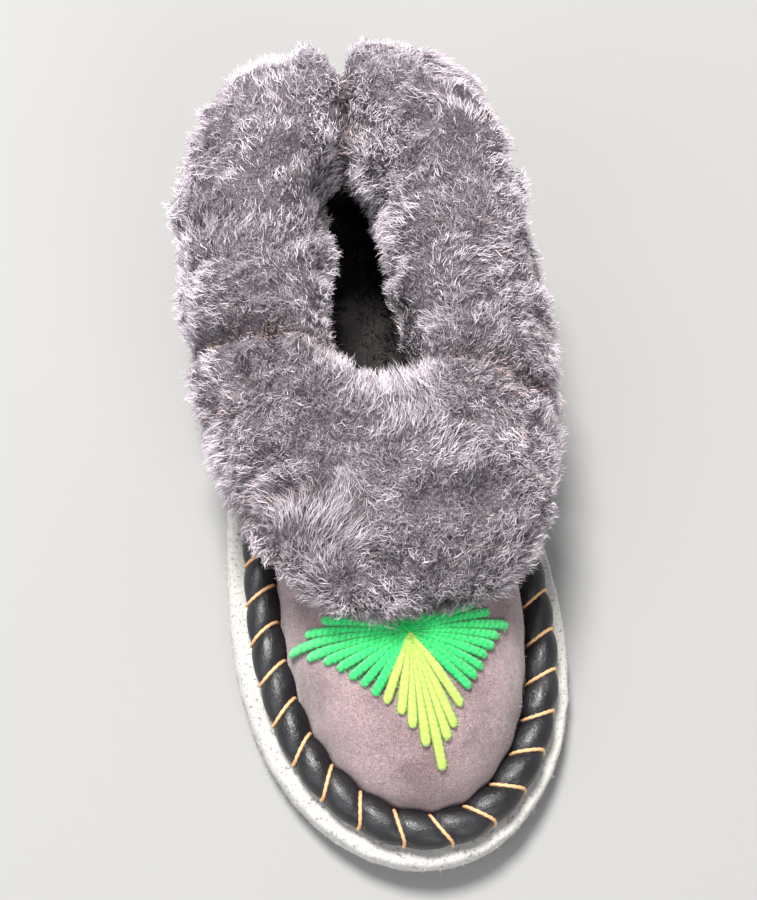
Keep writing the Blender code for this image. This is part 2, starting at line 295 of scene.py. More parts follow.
def upper_curve(angle, v):
    """Outside of the upper: at each angle a cubic Bezier curve in v.

    The curve is at the sole's edge where v is 0 and at the collar where v is 1.
    """
    inset = np.full(np.shape(angle), -ROLL_RADIUS - UPPER_FOOT_ROOM)
    foot = lifted(outline(angle, inset), SOLE_THICKNESS + ROLL_REST)
    collar_x = profile_size(angle, "spread") * np.sin(angle)
    collar_y = (COLLAR_FRONT + COLLAR_REAR) / 2 - (COLLAR_REAR - COLLAR_FRONT) / 2 * np.cos(angle)
    collar = np.stack([collar_x, collar_y, profile_size(angle, "collar")], axis=-1)
    rise = profile_size(angle, "rise")[..., None] * np.array([0, 0, 1])
    bulge = profile_size(angle, "bulge")[..., None] * plan_normal(angle)
    leave = foot + rise + np.concatenate([bulge, np.zeros_like(bulge[..., :1])], axis=-1)
    meet = collar + (foot - collar) * profile_size(angle, "back")[..., None] * np.array([1, 1, 0])
    meet = meet - profile_size(angle, "drop")[..., None] * np.array([0, 0, 1])
    v = np.asarray(v)[..., None]
    return (1 - v) ** 3 * foot + 3 * (1 - v) ** 2 * v * leave + 3 * (1 - v) * v**2 * meet + v**3 * collar


def upper_frame(angle, v):
    """Points of the upper's outside with its normal and the direction down the curve, by differences."""
    step = 1e-3
    point = upper_curve(angle, v)
    down = unit(upper_curve(angle, v - step) - upper_curve(angle, v + step))
    around = upper_curve(angle + step, v) - upper_curve(angle - step, v)
    return point, unit(np.cross(down, around)), down


def curve_place(angle, reach):
    """Value of v at each distance down the upper's curve from the collar, by its running length."""
    fine = np.linspace(1, 0, 160)
    line = upper_curve(angle[:, None], fine[None, :])
    run = np.cumsum(np.linalg.norm(np.diff(line, axis=1), axis=2), axis=1)
    run = np.concatenate([np.zeros((len(angle), 1)), run], axis=1)
    return np.stack([np.interp(want, have, fine) for want, have in zip(reach, run)])


def cuff_column(angle, field):
    """One size of the cuff round the slipper, from its column of the table."""
    return round_table(angle, [getattr(row, field) for row in CUFF_SIZES])


def vamp_share(angle):
    """How far a place round the slipper belongs to the vamp: the sixth power of the cosine, 0 behind."""
    return np.clip(np.cos(angle), 0, 1) ** 6


def cuff_hem(angle):
    """Length of the flap from the collar to its hem. Brushed wool hangs a little lower over the vamp."""
    return (cuff_column(angle, "hem_drop") + FRONT_HEM_DROP * vamp_share(angle))[:, None]


def cuff_field(stations, rows):
    """Grids over the cuff: skin point, pile direction, pile depth and the way down the flap.

    Each row of the section has a place down the flap and a tilt of the pile. The pile points along
    cosine of the tilt times the upper's normal plus sine of the tilt times the way down.
    """
    angle = np.arange(stations) * TURN / stations
    place = np.linspace(0, len(CUFF_ROWS) - 1, rows)
    along, tilt, share = (np.interp(place, range(len(CUFF_ROWS)), column) for column in zip(*CUFF_ROWS))
    reach = np.where(along >= 0, cuff_hem(angle) * along, -along * CUFF_INNER_DROP)
    point, normal, down = upper_frame(angle[:, None], curve_place(angle, reach))
    cosine, sine = np.cos(np.radians(tilt)), np.sin(np.radians(tilt))
    within = np.clip(-cosine, 0, 1)
    outward = unit(normal * cosine[:, None] + down * sine[:, None])
    outer_pile, inner_pile = (cuff_column(angle, field)[:, None] for field in ("pile", "inner_pile"))
    pile = outer_pile * (1 - within) + inner_pile * within
    pile = pile + CUFF_INNER_LEAN * np.sin(angle)[:, None] * within
    from_seam = np.degrees(np.abs(angle - math.pi)) / CUFF_PARTING_DEG
    parting = 1 - CUFF_PARTING * np.exp(-(from_seam**2))
    skin = point - normal * (WALL * within)[:, None]
    return skin, outward, pile * share * parting[:, None], down


def ripple(points, wavelength, seed, waves=14):
    """Smooth unevenness between about -1 and 1: a sum of sine waves in random directions through space."""
    random = np.random.default_rng(seed)
    ways = unit(random.normal(size=(waves, 3))) * TURN / wavelength * random.uniform(0.7, 1.4, (waves, 1))
    phase = random.uniform(0, TURN, waves)
    return np.sin(points @ ways.T + phase).sum(axis=-1) / math.sqrt(waves)


# Meshes


def put_mesh(name, points, faces, uv=None, uv_name="UVMap"):
    """A mesh object from an array of points and arrays of faces with three or four corners each."""
    points = (np.asarray(points).reshape(-1, 3) + [0, OUTLINE_SHIFT, 0]).astype(np.float32)
    loops = np.concatenate([f.ravel() for f in faces]).astype(np.int32)
    corners = np.concatenate([np.full(len(f), f.shape[1]) for f in faces])
    starts = np.concatenate([[0], np.cumsum(corners)[:-1]]).astype(np.int32)
    mesh = bpy.data.meshes.new(name)
    mesh.vertices.add(len(points))
    mesh.vertices.foreach_set("co", points.ravel())
    mesh.loops.add(len(loops))
    mesh.loops.foreach_set("vertex_index", loops)
    mesh.polygons.add(len(starts))
    mesh.polygons.foreach_set("loop_start", starts)
    mesh.polygons.foreach_set("use_smooth", np.ones(len(starts), dtype=bool))
    if uv is not None:
        layer = mesh.uv_layers.new(name=uv_name)
        layer.uv.foreach_set("vector", np.asarray(uv, dtype=np.float32).reshape(-1, 2)[loops].ravel())
    mesh.update(calc_edges=True)
    made = bpy.data.objects.new(name, mesh)
    bpy.context.scene.collection.objects.link(made)
    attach(made, BODY)
    return made


def grid_quads(rows, columns, wrap_rows=True, wrap_columns=True):
    """Corner numbers of the quads of a grid, wrapped round where it closes on itself."""
    i, j = np.meshgrid(
        np.arange(rows if wrap_rows else rows - 1),
        np.arange(columns if wrap_columns else columns - 1),
        indexing="ij",
    )
    i2, j2 = (i + 1) % rows, (j + 1) % columns
    corners = [i * columns + j, i2 * columns + j, i2 * columns + j2, i * columns + j2]
    return np.stack(corners, axis=-1).reshape(-1, 4)


def grid_uv(rows, columns):
    """One turn of the grid across each side of the map."""
    u, v = np.meshgrid(np.arange(rows) / rows, np.arange(columns) / columns, indexing="ij")
    return np.stack([u, v], axis=-1)


def many_grids(count, rows, columns):
    """Quads of many equal grids that lie one after another in the list of points."""
    one = grid_quads(rows, columns, wrap_rows=False)
    return (one[None] + (np.arange(count) * rows * columns)[:, None, None]).reshape(-1, 4)


def section_turns(sides):
    """Even angles round a tube's section, starting underneath."""
    return np.arange(sides) * TURN / sides - math.pi / 2


def tube(paths, radius, sides, up):
    """Tubes round many paths: at each point a circle across the path, in the directions up and sideways."""
    ahead = unit(np.gradient(paths, axis=1))
    side = unit(np.cross(ahead, up))
    rise = np.cross(side, ahead)
    turn = section_turns(sides)
    ring = side[:, :, None] * np.cos(turn)[:, None] + rise[:, :, None] * np.sin(turn)[:, None]
    return paths[:, :, None] + ring * np.asarray(radius)[..., None, None]


def hair_mesh(name, spine, width, side, tone):
    """Flat tapered hairs: at each point of a spine but the last, two points half a width to either side.

    The map puts the tone across and the way from root to tip up, so hairs of one tone share a strip of it.
    """
    count, knots = spine.shape[:2]
    width = np.broadcast_to(width, (count, knots))
    half = side[:, None] * (width[:, :-1, None] / 2)
    pairs = np.stack([spine[:, :-1] - half, spine[:, :-1] + half], axis=2).reshape(count, -1, 3)
    points = np.concatenate([pairs, spine[:, -1:]], axis=1)
    each = points.shape[1]
    quads = np.array([[2 * k, 2 * k + 1, 2 * k + 3, 2 * k + 2] for k in range(knots - 2)])
    point_end = np.array([[each - 3, each - 2, each - 1]])
    first = (np.arange(count) * each)[:, None, None]
    strip, margin = 0.004, 0.01
    along = np.linspace(0, 1, knots)
    v = np.concatenate([np.repeat(along[:-1], 2), along[-1:]])
    offset = np.concatenate([np.tile([-strip, strip], knots - 1), [0.0]])
    u = np.clip(tone, margin, 1 - margin)[:, None] + offset
    uv = np.stack([u, np.broadcast_to(v * (1 - 2 * margin) + margin, u.shape)], axis=-1)
    faces = [(first + quads).reshape(-1, 4), (first + point_end).reshape(-1, 3)]
    return put_mesh(name, points, faces, uv, "OFBake")


def bent_hairs(root, out, lean, length, early_lean, late_out, early_length=0.5):
    """Spines of short bent hairs with three points each.

    The first part runs outwards plus a share of the lean, the second along the lean plus a share of the
    way outwards. Each part is a share of the hair's length.
    """
    middle = root + unit(out + lean * early_lean) * length * early_length
    end = middle + unit(out * late_out + lean) * length * 0.5
    return np.stack([root, middle, end], axis=1)


def close_seams(piece):
    """Joins the points that two edges of a surface share."""
    work = bmesh.new()
    work.from_mesh(piece.data)
    bmesh.ops.remove_doubles(work, verts=work.verts, dist=SEAM_REACH)
    bmesh.ops.recalc_face_normals(work, faces=work.faces)
    work.to_mesh(piece.data)
    work.free()


def finish_piece(piece, material, slot, *nodes):
    """Gives a piece its material and hides the solids that it stands for. Its slot is not used."""
    piece.data.materials.append(material)
    if nodes:
        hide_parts(*nodes)
    return piece


# Materials


def node(tree, kind, inputs=None, **settings):
    """A shader node with its settings. Each input is a plain value or another node's output."""
    made = tree.nodes.new(kind)
    for key, value in settings.items():
        setattr(made, key, value)
    for key, value in (inputs or {}).items():
        if isinstance(value, bpy.types.NodeSocket):
            tree.links.new(value, made.inputs[key])
        else:
            made.inputs[key].default_value = value
    return made


def new_material(name, **plain):
    """A Principled material with plain values on its sockets: the material, its tree and its shader."""
    made = bpy.data.materials.new(name)
    made.use_nodes = True
    tree = made.node_tree
    shader = tree.nodes["Principled BSDF"]
    for key, value in plain.items():
        shader.inputs[key.replace("_", " ").title().replace("Ior", "IOR")].default_value = value
    return made, tree, shader


def ramp(tree, value, *stops):
    """A colour ramp over a value. Each stop has its place and its colour."""
    made = node(tree, "ShaderNodeValToRGB", {"Fac": value})
    points = made.color_ramp.elements
    while len(points) < len(stops):
        points.new(0.5)
    for point, (place, colour) in zip(points, stops):
        point.position = place
        point.color = (*colour, 1.0)
    return made.outputs["Color"]


def grey(level):
    return (level, level, level)


def shade(colour, factor):
    """A colour times a factor, with no channel above 1."""
    return tuple(min(1.0, channel * factor) for channel in colour)


def shades(tree, value, colour, *stops):
    """A ramp of one colour. Each stop has its place and how many times as light the colour is there."""
    return ramp(tree, value, *((place, shade(colour, factor)) for place, factor in stops))


def mixed(tree, share, first, second, kind="MIX"):
    """Two colours put together by a share. Each is a plain value or another node's output."""
    made = node(tree, "ShaderNodeMix", data_type="RGBA", blend_type=kind)
    for socket, value in ((made.inputs[0], share), (made.inputs[6], first), (made.inputs[7], second)):
        if isinstance(value, bpy.types.NodeSocket):
            tree.links.new(value, socket)
        else:
            socket.default_value = value if isinstance(value, float) else (*value, 1.0)
    return made.outputs[2]


def maths(tree, operation, first, second=0.0):
    return node(tree, "ShaderNodeMath", {0: first, 1: second}, operation=operation).outputs[0]


def noise(tree, place, scale, detail, distortion=0.0):
    inputs = {"Vector": place, "Scale": scale, "Detail": detail, "Distortion": distortion}
    return node(tree, "ShaderNodeTexNoise", inputs).outputs["Fac"]


def bump(tree, shader, height, strength, distance):
    made = node(tree, "ShaderNodeBump", {"Height": height, "Strength": strength, "Distance": distance})
    tree.links.new(made.outputs["Normal"], shader.inputs["Normal"])


def object_place(tree):
    return node(tree, "ShaderNodeTexCoord").outputs["Object"]


def surface_map(tree, name="UVMap"):
    return node(tree, "ShaderNodeUVMap", uv_map=name).outputs["UV"]


def drawn_out(tree, place, scale, turn=0.0):
    """Places of a texture stretched by a scale for each axis and turned about the third."""
    inputs = {"Vector": place, "Scale": scale, "Rotation": (0, 0, turn)}
    return node(tree, "ShaderNodeMapping", inputs).outputs["Vector"]


def new_group(name, *sockets):
    """A node group that puts out a height and a tone: its tree, its input node and its output node.

    The first of its own sockets takes a place and the others take numbers.
    """
    tree = bpy.data.node_groups.new(name, "ShaderNodeTree")
    for number, socket in enumerate(sockets):
        kind = "NodeSocketFloat" if number else "NodeSocketVector"
        tree.interface.new_socket(socket, in_out="INPUT", socket_type=kind)
    for socket in ("Height", "Tone"):
        tree.interface.new_socket(socket, in_out="OUTPUT", socket_type="NodeSocketFloat")
    return tree, node(tree, "NodeGroupInput"), node(tree, "NodeGroupOutput")


def fibre_grain_group():
    """Short tangled fibres: fine noise over coarse noise as a height, and broad noise as a tone."""
    name = "Fibre grain"
    if name in bpy.data.node_groups:
        return bpy.data.node_groups[name]
    sockets = ("Vector", "Fine Scale", "Broad Scale")
    tree, inside, outside = new_group(name, *sockets)
    place, fine, broad = (inside.outputs[socket] for socket in sockets)
    tangled = noise(tree, place, fine, detail=3.0, distortion=1.2)
    coarser = maths(tree, "MULTIPLY", fine, 0.28)
    coarse = noise(tree, place, coarser, detail=2.0, distortion=0.6)
    height = maths(tree, "ADD", maths(tree, "MULTIPLY", tangled, 0.6), coarse)
    tree.links.new(height, outside.inputs["Height"])
    tree.links.new(noise(tree, place, broad, detail=3.0), outside.inputs["Tone"])
    return tree


def fibre_grain(tree, fine, broad):
    inputs = {"Vector": object_place(tree), "Fine Scale": fine, "Broad Scale": broad}
    made = node(tree, "ShaderNodeGroup", inputs, node_tree=fibre_grain_group())
    return made.outputs["Height"], made.outputs["Tone"]


def spun_fibre_group():
    """Fibres of a spun thread: noise drawn out along the map as a height.

    The tone is that noise plus a cosine of twice the way round the thread, which paints shade in the groove
    between its two plies.
    """
    name = "Spun fibre"
    if name in bpy.data.node_groups:
        return bpy.data.node_groups[name]
    sockets = ("UV", "Ply Shade")
    tree, inside, outside = new_group(name, *sockets)
    place, ply_shade = (inside.outputs[socket] for socket in sockets)
    drawn = drawn_out(tree, place, scale=(14.0, 9.0, 1.0), turn=0.5)
    strands = noise(tree, drawn, scale=3.0, detail=4.0)
    round_it = node(tree, "ShaderNodeSeparateXYZ", {0: place}).outputs[1]
    plies = maths(tree, "COSINE", maths(tree, "MULTIPLY", round_it, 2 * TURN))
    # Painted shade where the two plies meet: a cosine times the ply shade.
    tone = maths(tree, "ADD", strands, maths(tree, "MULTIPLY", plies, ply_shade))
    tree.links.new(strands, outside.inputs["Height"])
    tree.links.new(tone, outside.inputs["Tone"])
    return tree


def spun_fibre(tree, ply_shade):
    inputs = {"UV": surface_map(tree), "Ply Shade": ply_shade}
    made = node(tree, "ShaderNodeGroup", inputs, node_tree=spun_fibre_group())
    return made.outputs["Height"], made.outputs["Tone"]


def felt_material(colours):
    """Pale felt with small dark specks."""
    made, tree, shader = new_material("sole felt", roughness=0.96, sheen_weight=0.25)
    height, tone = fibre_grain(tree, fine=1300.0, broad=55.0)
    base = shades(tree, tone, colours.felt, (0.30, 0.86), (0.70, 1.04))
    specks = noise(tree, object_place(tree), scale=900.0, detail=1.0)
    dark = ramp(tree, specks, (0.31, (0.42, 0.39, 0.36)), (0.40, grey(1.0)))
    tree.links.new(mixed(tree, 0.8, base, dark, "MULTIPLY"), shader.inputs["Base Color"])
    bump(tree, shader, height, strength=0.75, distance=0.6 * MM)
    return made


def leather_material(colours):
    """Smooth black leather: fine cells for the grain, drawn-out noise along the roll for the creases."""
    made, tree, shader = new_material("black leather", coat_roughness=0.34, specular_ior_level=0.42)
    place = object_place(tree)
    cells = node(tree, "ShaderNodeTexVoronoi", {"Vector": place, "Scale": 1150.0}, feature="DISTANCE_TO_EDGE")
    pores = maths(tree, "MINIMUM", cells.outputs["Distance"], 0.12)
    drawn = drawn_out(tree, surface_map(tree), scale=(70.0, 7.0, 1.0))
    creases = noise(tree, drawn, scale=2.2, detail=4.0)
    worn = noise(tree, place, scale=90.0, detail=5.0)
    base = shades(tree, worn, colours.leather, (0.35, 0.75), (0.72, 2.3))
    tree.links.new(base, shader.inputs["Base Color"])
    limits = {"From Min": 0.3, "From Max": 0.7, "To Min": 0.30, "To Max": 0.47}
    gloss = node(tree, "ShaderNodeMapRange", {"Value": worn, **limits})
    tree.links.new(gloss.outputs["Result"], shader.inputs["Roughness"])
    coat = ramp(tree, worn, (0.3, grey(0.16)), (0.7, grey(0.03)))
    tree.links.new(coat, shader.inputs["Coat Weight"])
    grain = maths(tree, "MULTIPLY", pores, 1.3)
    height = maths(tree, "ADD", grain, maths(tree, "MULTIPLY", creases, 1.6))
    bump(tree, shader, height, strength=0.45, distance=0.5 * MM)
    return made


def thread_material(colours):
    """Waxed thread of two plies."""
    made, tree, shader = new_material("waxed thread", roughness=0.55)
    height, tone = spun_fibre(tree, ply_shade=0.06)
    base = shades(tree, tone, colours.thread, (0.3, 0.52), (0.68, 1.2))
    tree.links.new(base, shader.inputs["Base Color"])
    bump(tree, shader, height, strength=0.6, distance=0.3 * MM)
    return made


def yarn_material(name, colour, between):
    """Soft yarn: light and dark fibres, and painted shade on the flanks where a stitch dips between its
    neighbours.
    """
    made, tree, shader = new_material(name, roughness=0.9, sheen_weight=0.3)
    height, tone = spun_fibre(tree, ply_shade=0.035)
    base = shades(tree, tone, colour, (0.40, between), (0.52, 0.97), (0.68, 1.3))
    crown = node(tree, "ShaderNodeAttribute", attribute_name="crown").outputs["Fac"]
    # Painted shade: the stitch's flanks darker, from the crown attribute, where it dips between its
    # neighbours.
    painted_flank_shade = ramp(tree, crown, (0.26, (0.12, 0.16, 0.12)), (0.80, grey(1.0)))
    tree.links.new(mixed(tree, 1.0, base, painted_flank_shade, "MULTIPLY"), shader.inputs["Base Color"])
    bump(tree, shader, height, strength=0.8, distance=0.5 * MM)
    return made


def suede_material(colours):
    """Brushed suede: short fibres, broad patches where the nap lies the other way, painted lighter and darker
    as its sheen, and fine flecks.
    """
    made, tree, shader = new_material("brushed suede", roughness=0.97, sheen_weight=0.35, sheen_roughness=0.5)
    height, tone = fibre_grain(tree, fine=1700.0, broad=48.0)
    # Painted sheen: shaded, plain and lit copies of the suede colour in broad patches.
    brushed = shade(colours.suede, 1.25)
    base = ramp(tree, tone, (0.30, colours.suede_dark), (0.52, colours.suede), (0.74, brushed))
    flecks = noise(tree, object_place(tree), scale=1150.0, detail=5.0, distortion=2.2)
    dark, light = (0.42, 0.40, 0.41), (1.8, 1.75, 1.75)
    fleck = ramp(tree, flecks, (0.32, dark), (0.5, grey(0.95)), (0.72, light))
    tree.links.new(mixed(tree, 0.75, base, fleck, "MULTIPLY"), shader.inputs["Base Color"])
    bump(tree, shader, height, strength=0.7, distance=0.5 * MM)
    return made


def wool_skin_material(colours):
    """Underwool: a tangle of light and dark fibres in the wool's root colour, which paints part of the shade
    deep in the pile.
    """
    made, tree, shader = new_material("wool underside", roughness=0.97)
    height, _ = fibre_grain(tree, fine=900.0, broad=1400.0)
    tangle = noise(tree, object_place(tree), scale=620.0, detail=4.0, distortion=3.2)
    base = shades(tree, tangle, colours.wool_root, (0.32, 0.4), (0.50, 2.0), (0.70, 5.8))
    tree.links.new(base, shader.inputs["Base Color"])
    bump(tree, shader, height, strength=0.9, distance=1.5 * MM)
    return made


def hair_material(name, root, tip, warm):
    """Hair: dark at the root, which paints part of the shade deep among the hairs, and lightest past its
    middle, partly a painted highlight, with its tone from its place across the map.

    Hairs at the far end of the tones are tinted with the warm colour.
    """
    made, tree, shader = new_material(name, roughness=0.82, specular_ior_level=0.25)
    split = node(tree, "ShaderNodeSeparateXYZ", {0: surface_map(tree, "OFBake")})
    tone, along = split.outputs[0], split.outputs[1]
    middle = tuple(0.24 * a + 0.76 * b for a, b in zip(root, tip))
    base = ramp(tree, along, (0.0, root), (0.36, middle), (0.62, tip), (1.0, shade(tip, 0.62)))
    # The tone ramp carries the painted light and shade held in each cuff hair's tone.
    dark, light = (0.34, 0.33, 0.34), (1.28, 1.26, 1.28)
    lighter = ramp(tree, tone, (0.0, dark), (0.5, grey(0.95)), (0.93, light))
    greyed = mixed(tree, 1.0, base, lighter, "MULTIPLY")
    odd = ramp(tree, tone, (0.930, grey(0.0)), (0.945, grey(1.0)))
    tinted = mixed(tree, 0.62, greyed, mixed(tree, 1.0, base, shade(warm, 2.6), "MULTIPLY"))
    tree.links.new(mixed(tree, odd, greyed, tinted), shader.inputs["Base Color"])
    return made


def fleece_material(colours):
    """Dark fleece with coarse grain; its near-black colour is partly painted shade inside the slipper."""
    made, tree, shader = new_material("fleece lining", roughness=0.97)
    height, tone = fibre_grain(tree, fine=420.0, broad=120.0)
    base = shades(tree, tone, colours.fleece, (0.3, 0.5), (0.7, 1.4))
    tree.links.new(base, shader.inputs["Base Color"])
    bump(tree, shader, height, strength=1.0, distance=2.5 * MM)
    return made


def floor_material(colours):
    """Pale floor, with painted light that grows with distance from its middle to make up for the lamps'
    falloff.
    """
    made, tree, shader = new_material("pale floor", roughness=0.85)
    _, tone = fibre_grain(tree, fine=300.0, broad=9.0)
    base = shades(tree, tone, colours.floor, (0.3, 0.985), (0.7, 1.0))
    reach = node(tree, "ShaderNodeVectorMath", {0: object_place(tree)}, operation="LENGTH").outputs["Value"]
    # Painted light: the floor's colour grows up to 2.6 times as light with distance from its middle.
    painted_falloff_light = ramp(tree, maths(tree, "MULTIPLY", reach, 0.25), (0.15, grey(1.0)), (0.80, grey(2.6)))
    tree.links.new(mixed(tree, 1.0, base, painted_falloff_light, "MULTIPLY"), shader.inputs["Base Color"])
    return made


# Pieces


def plate_surface(offset, base, thickness, *, round_low, round_high, stations, across):
    """A closed plate: rows go from the middle of its underside out, round its edge and back over its top.

    At each angle a line runs from the plate's spine to its outline. The edge is a quarter ellipse below
    and another above.
    """
    angle = even_angles(stations)
    edge_rows, spine_inset = 7, 26 * MM
    low_share, high_share = 0.3, 0.35
    turn = np.linspace(0, math.pi / 2, edge_rows)
    low = [(round_low * (1 - np.sin(t)), low_share * (1 - np.cos(t))) for t in turn]
    high = [(round_high * (1 - np.cos(t)), 1 - high_share + high_share * np.sin(t)) for t in turn]
    spine_end = ROLL_LINE_LENGTH / 2 + offset - spine_inset
    inner = np.linspace(0, 1, across, endpoint=False)

    def edge_at(inset):
        return outline(angle, np.full(stations, offset - inset))

    def flat_rows(inset, height, shares):
        edge = edge_at(inset)
        spine = np.stack([np.zeros(stations), np.clip(edge[:, 1], -spine_end, spine_end)], axis=-1)
        return [lifted(spine + (edge - spine) * share, base + height) for share in shares]

    rows = flat_rows(round_low, 0.0, inner)
    rows += [lifted(edge_at(inset), base + thickness * height) for inset, height in low + high]
    rows += flat_rows(round_high, thickness, inner[::-1])
    return np.stack(rows, axis=1)


def sole_piece(colours):
    """The felt sole: a plate moved about in plan and, above its underside, in height by sums of waves."""
    edge = {"round_low": 2.2 * MM, "round_high": 1.8 * MM}
    offset = ROLL_RADIUS + SOLE_MARGIN
    grid = plate_surface(offset, 0.0, SOLE_THICKNESS, **edge, stations=260, across=8)
    flat = np.abs(grid[..., 2] - sole_lift(grid[..., 1])) < 0.05 * MM
    wander = np.stack([ripple(grid, 9 * MM, 21), ripple(grid, 9 * MM, 22), np.zeros(grid.shape[:2])], axis=-1)
    lumps = ripple(grid, 3.5 * MM, 23) * np.where(flat, 0.0, 0.10 * MM)
    grid = grid + wander * 0.16 * MM
    grid[..., 2] += lumps
    grid[..., 2] = np.maximum(grid[..., 2], 0.0)
    piece = put_mesh("sole_felt", grid, [grid_quads(*grid.shape[:2], wrap_columns=False)])
    close_seams(piece)
    return finish_piece(piece, felt_material(colours), "felt", "felt_sole")


def felt_fibres(sizes, colours):
    """Loose fibres on the sole's edge: short bent hairs at random places round it and up over it."""
    random = np.random.default_rng(31)
    count = sizes.felt_fibres
    angle = random.uniform(0, TURN, count)
    turn = np.radians(random.uniform(-50, 118, count))
    rim = ROLL_RADIUS + SOLE_MARGIN - 1.6 * MM
    on_top = rim - random.uniform(0, 3.4, count) * MM
    reach = np.where(turn > math.pi / 2, on_top, rim + 1.5 * MM * np.cos(turn))
    height = SOLE_THICKNESS * (0.5 + 0.48 * np.sin(np.clip(turn, -1.2, math.pi / 2)))
    root = lifted(outline(angle, reach), height)
    out = np.concatenate([plan_normal(angle) * np.cos(turn)[:, None], np.sin(turn)[:, None]], axis=-1)
    lean = unit(random.normal(size=(count, 3)))
    length = random.uniform(0.7, 2.0, count)[:, None] * MM
    spine = bent_hairs(root, out, lean, length, early_lean=0.6, late_out=0.5, early_length=0.55)
    spine[..., 2] = np.maximum(spine[..., 2], 0.1 * MM)
    tone = random.uniform(0.2, 0.9, count)
    piece = hair_mesh("sole_fibres", spine, 0.09 * MM, unit(np.cross(out, lean)), tone)
    material = hair_material("felt fibre", shade(colours.felt, 0.85), colours.felt, colours.felt)
    return finish_piece(piece, material, "felt")


def upper_piece(sizes, colours):
    """The suede shell: the upper's outside and inside, joined at the collar and the foot.

    It is puckered along the whip stitches by a cosine with one wave to a stitch, under a bell curve of the
    height above the sole. A sum of waves makes it a little uneven higher up.
    """
    stations, outside_rows, inside_rows = 294, 40, 14
    angle = even_angles(stations)
    rows = np.linspace(0, 1, outside_rows) ** 1.15
    point, normal, _ = upper_frame(angle[:, None], rows[None, :])
    wave = np.cos(np.arange(stations) / stations * TURN * sizes.stitch_count)[:, None]
    above = point[..., 2] - point[:, :1, 2]
    pucker = 0.32 * MM * wave * np.exp(-(((above - 6 * MM) / (5 * MM)) ** 2))
    soft = 0.35 * MM * ripple(point, 34 * MM, 41) * np.clip(above / (14 * MM), 0, 1)
    outside = point + normal * (pucker + soft)[..., None]
    inner_point, inner_normal, _ = upper_frame(angle[:, None], np.linspace(1, 0, inside_rows)[None, :])
    inside = inner_point - inner_normal * WALL
    inside[:, -1, 2] = outside[:, 0, 2]
    grid = np.concatenate([outside, inside], axis=1)
    piece = put_mesh("suede_upper", grid, [grid_quads(*grid.shape[:2])], grid_uv(*grid.shape[:2]))
    return finish_piece(piece, suede_material(colours), "suede", "upper")


def suede_nap(sizes, colours):
    """Raised fibres of the suede: short bent hairs at random places on the vamp and sides.

    They lean along sums of waves, in brushed patches, and a little at random.
    """
    random = np.random.default_rng(43)
    count = sizes.nap_fibres
    angle = random.normal(0, 0.75, count)
    v = random.uniform(0.06, 0.80, count) ** 0.8
    root, normal, _ = upper_frame(angle, v)
    brushed = np.stack([ripple(root, 40 * MM, seed) for seed in (44, 45, 46)], axis=-1)
    lean = brushed + random.normal(size=(count, 3)) * 0.6
    length = random.uniform(0.5, 1.3, count)[:, None] * MM
    spine = bent_hairs(root, normal, lean, length, early_lean=0.5, late_out=0.4)
    tone = random.uniform(0.1, 0.92, count)
    piece = hair_mesh("suede_nap", spine, 0.13 * MM, unit(np.cross(normal, lean)), tone)
    material = hair_material("suede nap", colours.suede_dark, shade(colours.suede, 1.7), colours.suede)
    return finish_piece(piece, material, "suede")


def stitch_along(turn, sizes):
    """How far along the roll a stitch has moved at a place round it: half its lean times the cosine there."""
    return sizes.stitch_lean / 2 * np.cos(turn)


def roll_groove(along, turn, pitch, sizes):
    """How far the roll is drawn in, from 0 to 1.

    It is the mean of a narrow and a wide bell curve of the distance to the nearest slanting stitch.
    """
    narrow, wide = 1.15 * MM, 3.4 * MM
    phase = (along - stitch_along(turn, sizes)) / pitch
    nearest = (phase - np.round(phase)) * pitch
    return np.exp(-((nearest / narrow) ** 2)) * 0.5 + np.exp(-((nearest / wide) ** 2)) * 0.5


def roll_radius(groove, turn, sizes):
    """Radius of the stuffed roll: swollen between stitches, and drawn in along them except underneath."""
    swell = 0.50 * MM
    over = np.clip(np.sin(turn) * 1.6 + 0.75, 0, 1)
    return ROLL_RADIUS + swell * (1 - groove) - sizes.stitch_groove * groove * over


def roll_point(angle, along, turn, pitch, sizes, extra=0.0):
    """Points round the roll's middle line: radius times cosine of the turn outwards and sine upwards.

    The roll bulges in over the suede, most of all between stitches, and never sinks into the sole.
    """
    groove = roll_groove(along, turn, pitch, sizes)
    radius = roll_radius(groove, turn, sizes) + extra
    bulge = 0.4 * MM + 1.0 * MM * (1 - groove)
    inward = bulge * np.clip(-np.cos(turn), 0, 1) ** 2 * np.clip(0.4 + np.sin(turn), 0, 1)
    plan = outline(angle, (radius + inward) * np.cos(turn))
    height = sole_lift(roll_line(angle)[..., 1]) + SOLE_THICKNESS + ROLL_REST + ROLL_RADIUS
    lowest = sole_lift(plan[..., 1]) + SOLE_THICKNESS + 0.1 * MM
    return np.concatenate([plan, np.maximum(height + radius * np.sin(turn), lowest)[..., None]], axis=-1)


def roll_piece(sizes, colours):
    """The leather roll: its section carried round the outline, with small creases beside the stitches."""
    stations_per_stitch, sides = 18, 28
    count = sizes.stitch_count * stations_per_stitch
    angle = even_angles(count)
    length = roll_run()[1][-1]
    pitch = length / sizes.stitch_count
    along = (np.arange(count) / count * length)[:, None]
    turn = (np.arange(sides) / sides * TURN)[None, :]
    phase = along / pitch - np.round(along / pitch)
    drawn = np.sin(turn * 9 + 2.0 * np.sin(along / (7 * MM))) * np.exp(-((phase / 0.2) ** 2))
    places = np.broadcast_arrays(angle[:, None], along, turn)
    grid = roll_point(*places, pitch, sizes, drawn * 0.10 * MM)
    piece = put_mesh("stuffed_roll", grid, [grid_quads(count, sides)], grid_uv(count, sides))
    return finish_piece(piece, leather_material(colours), "black_leather", "leather_roll")


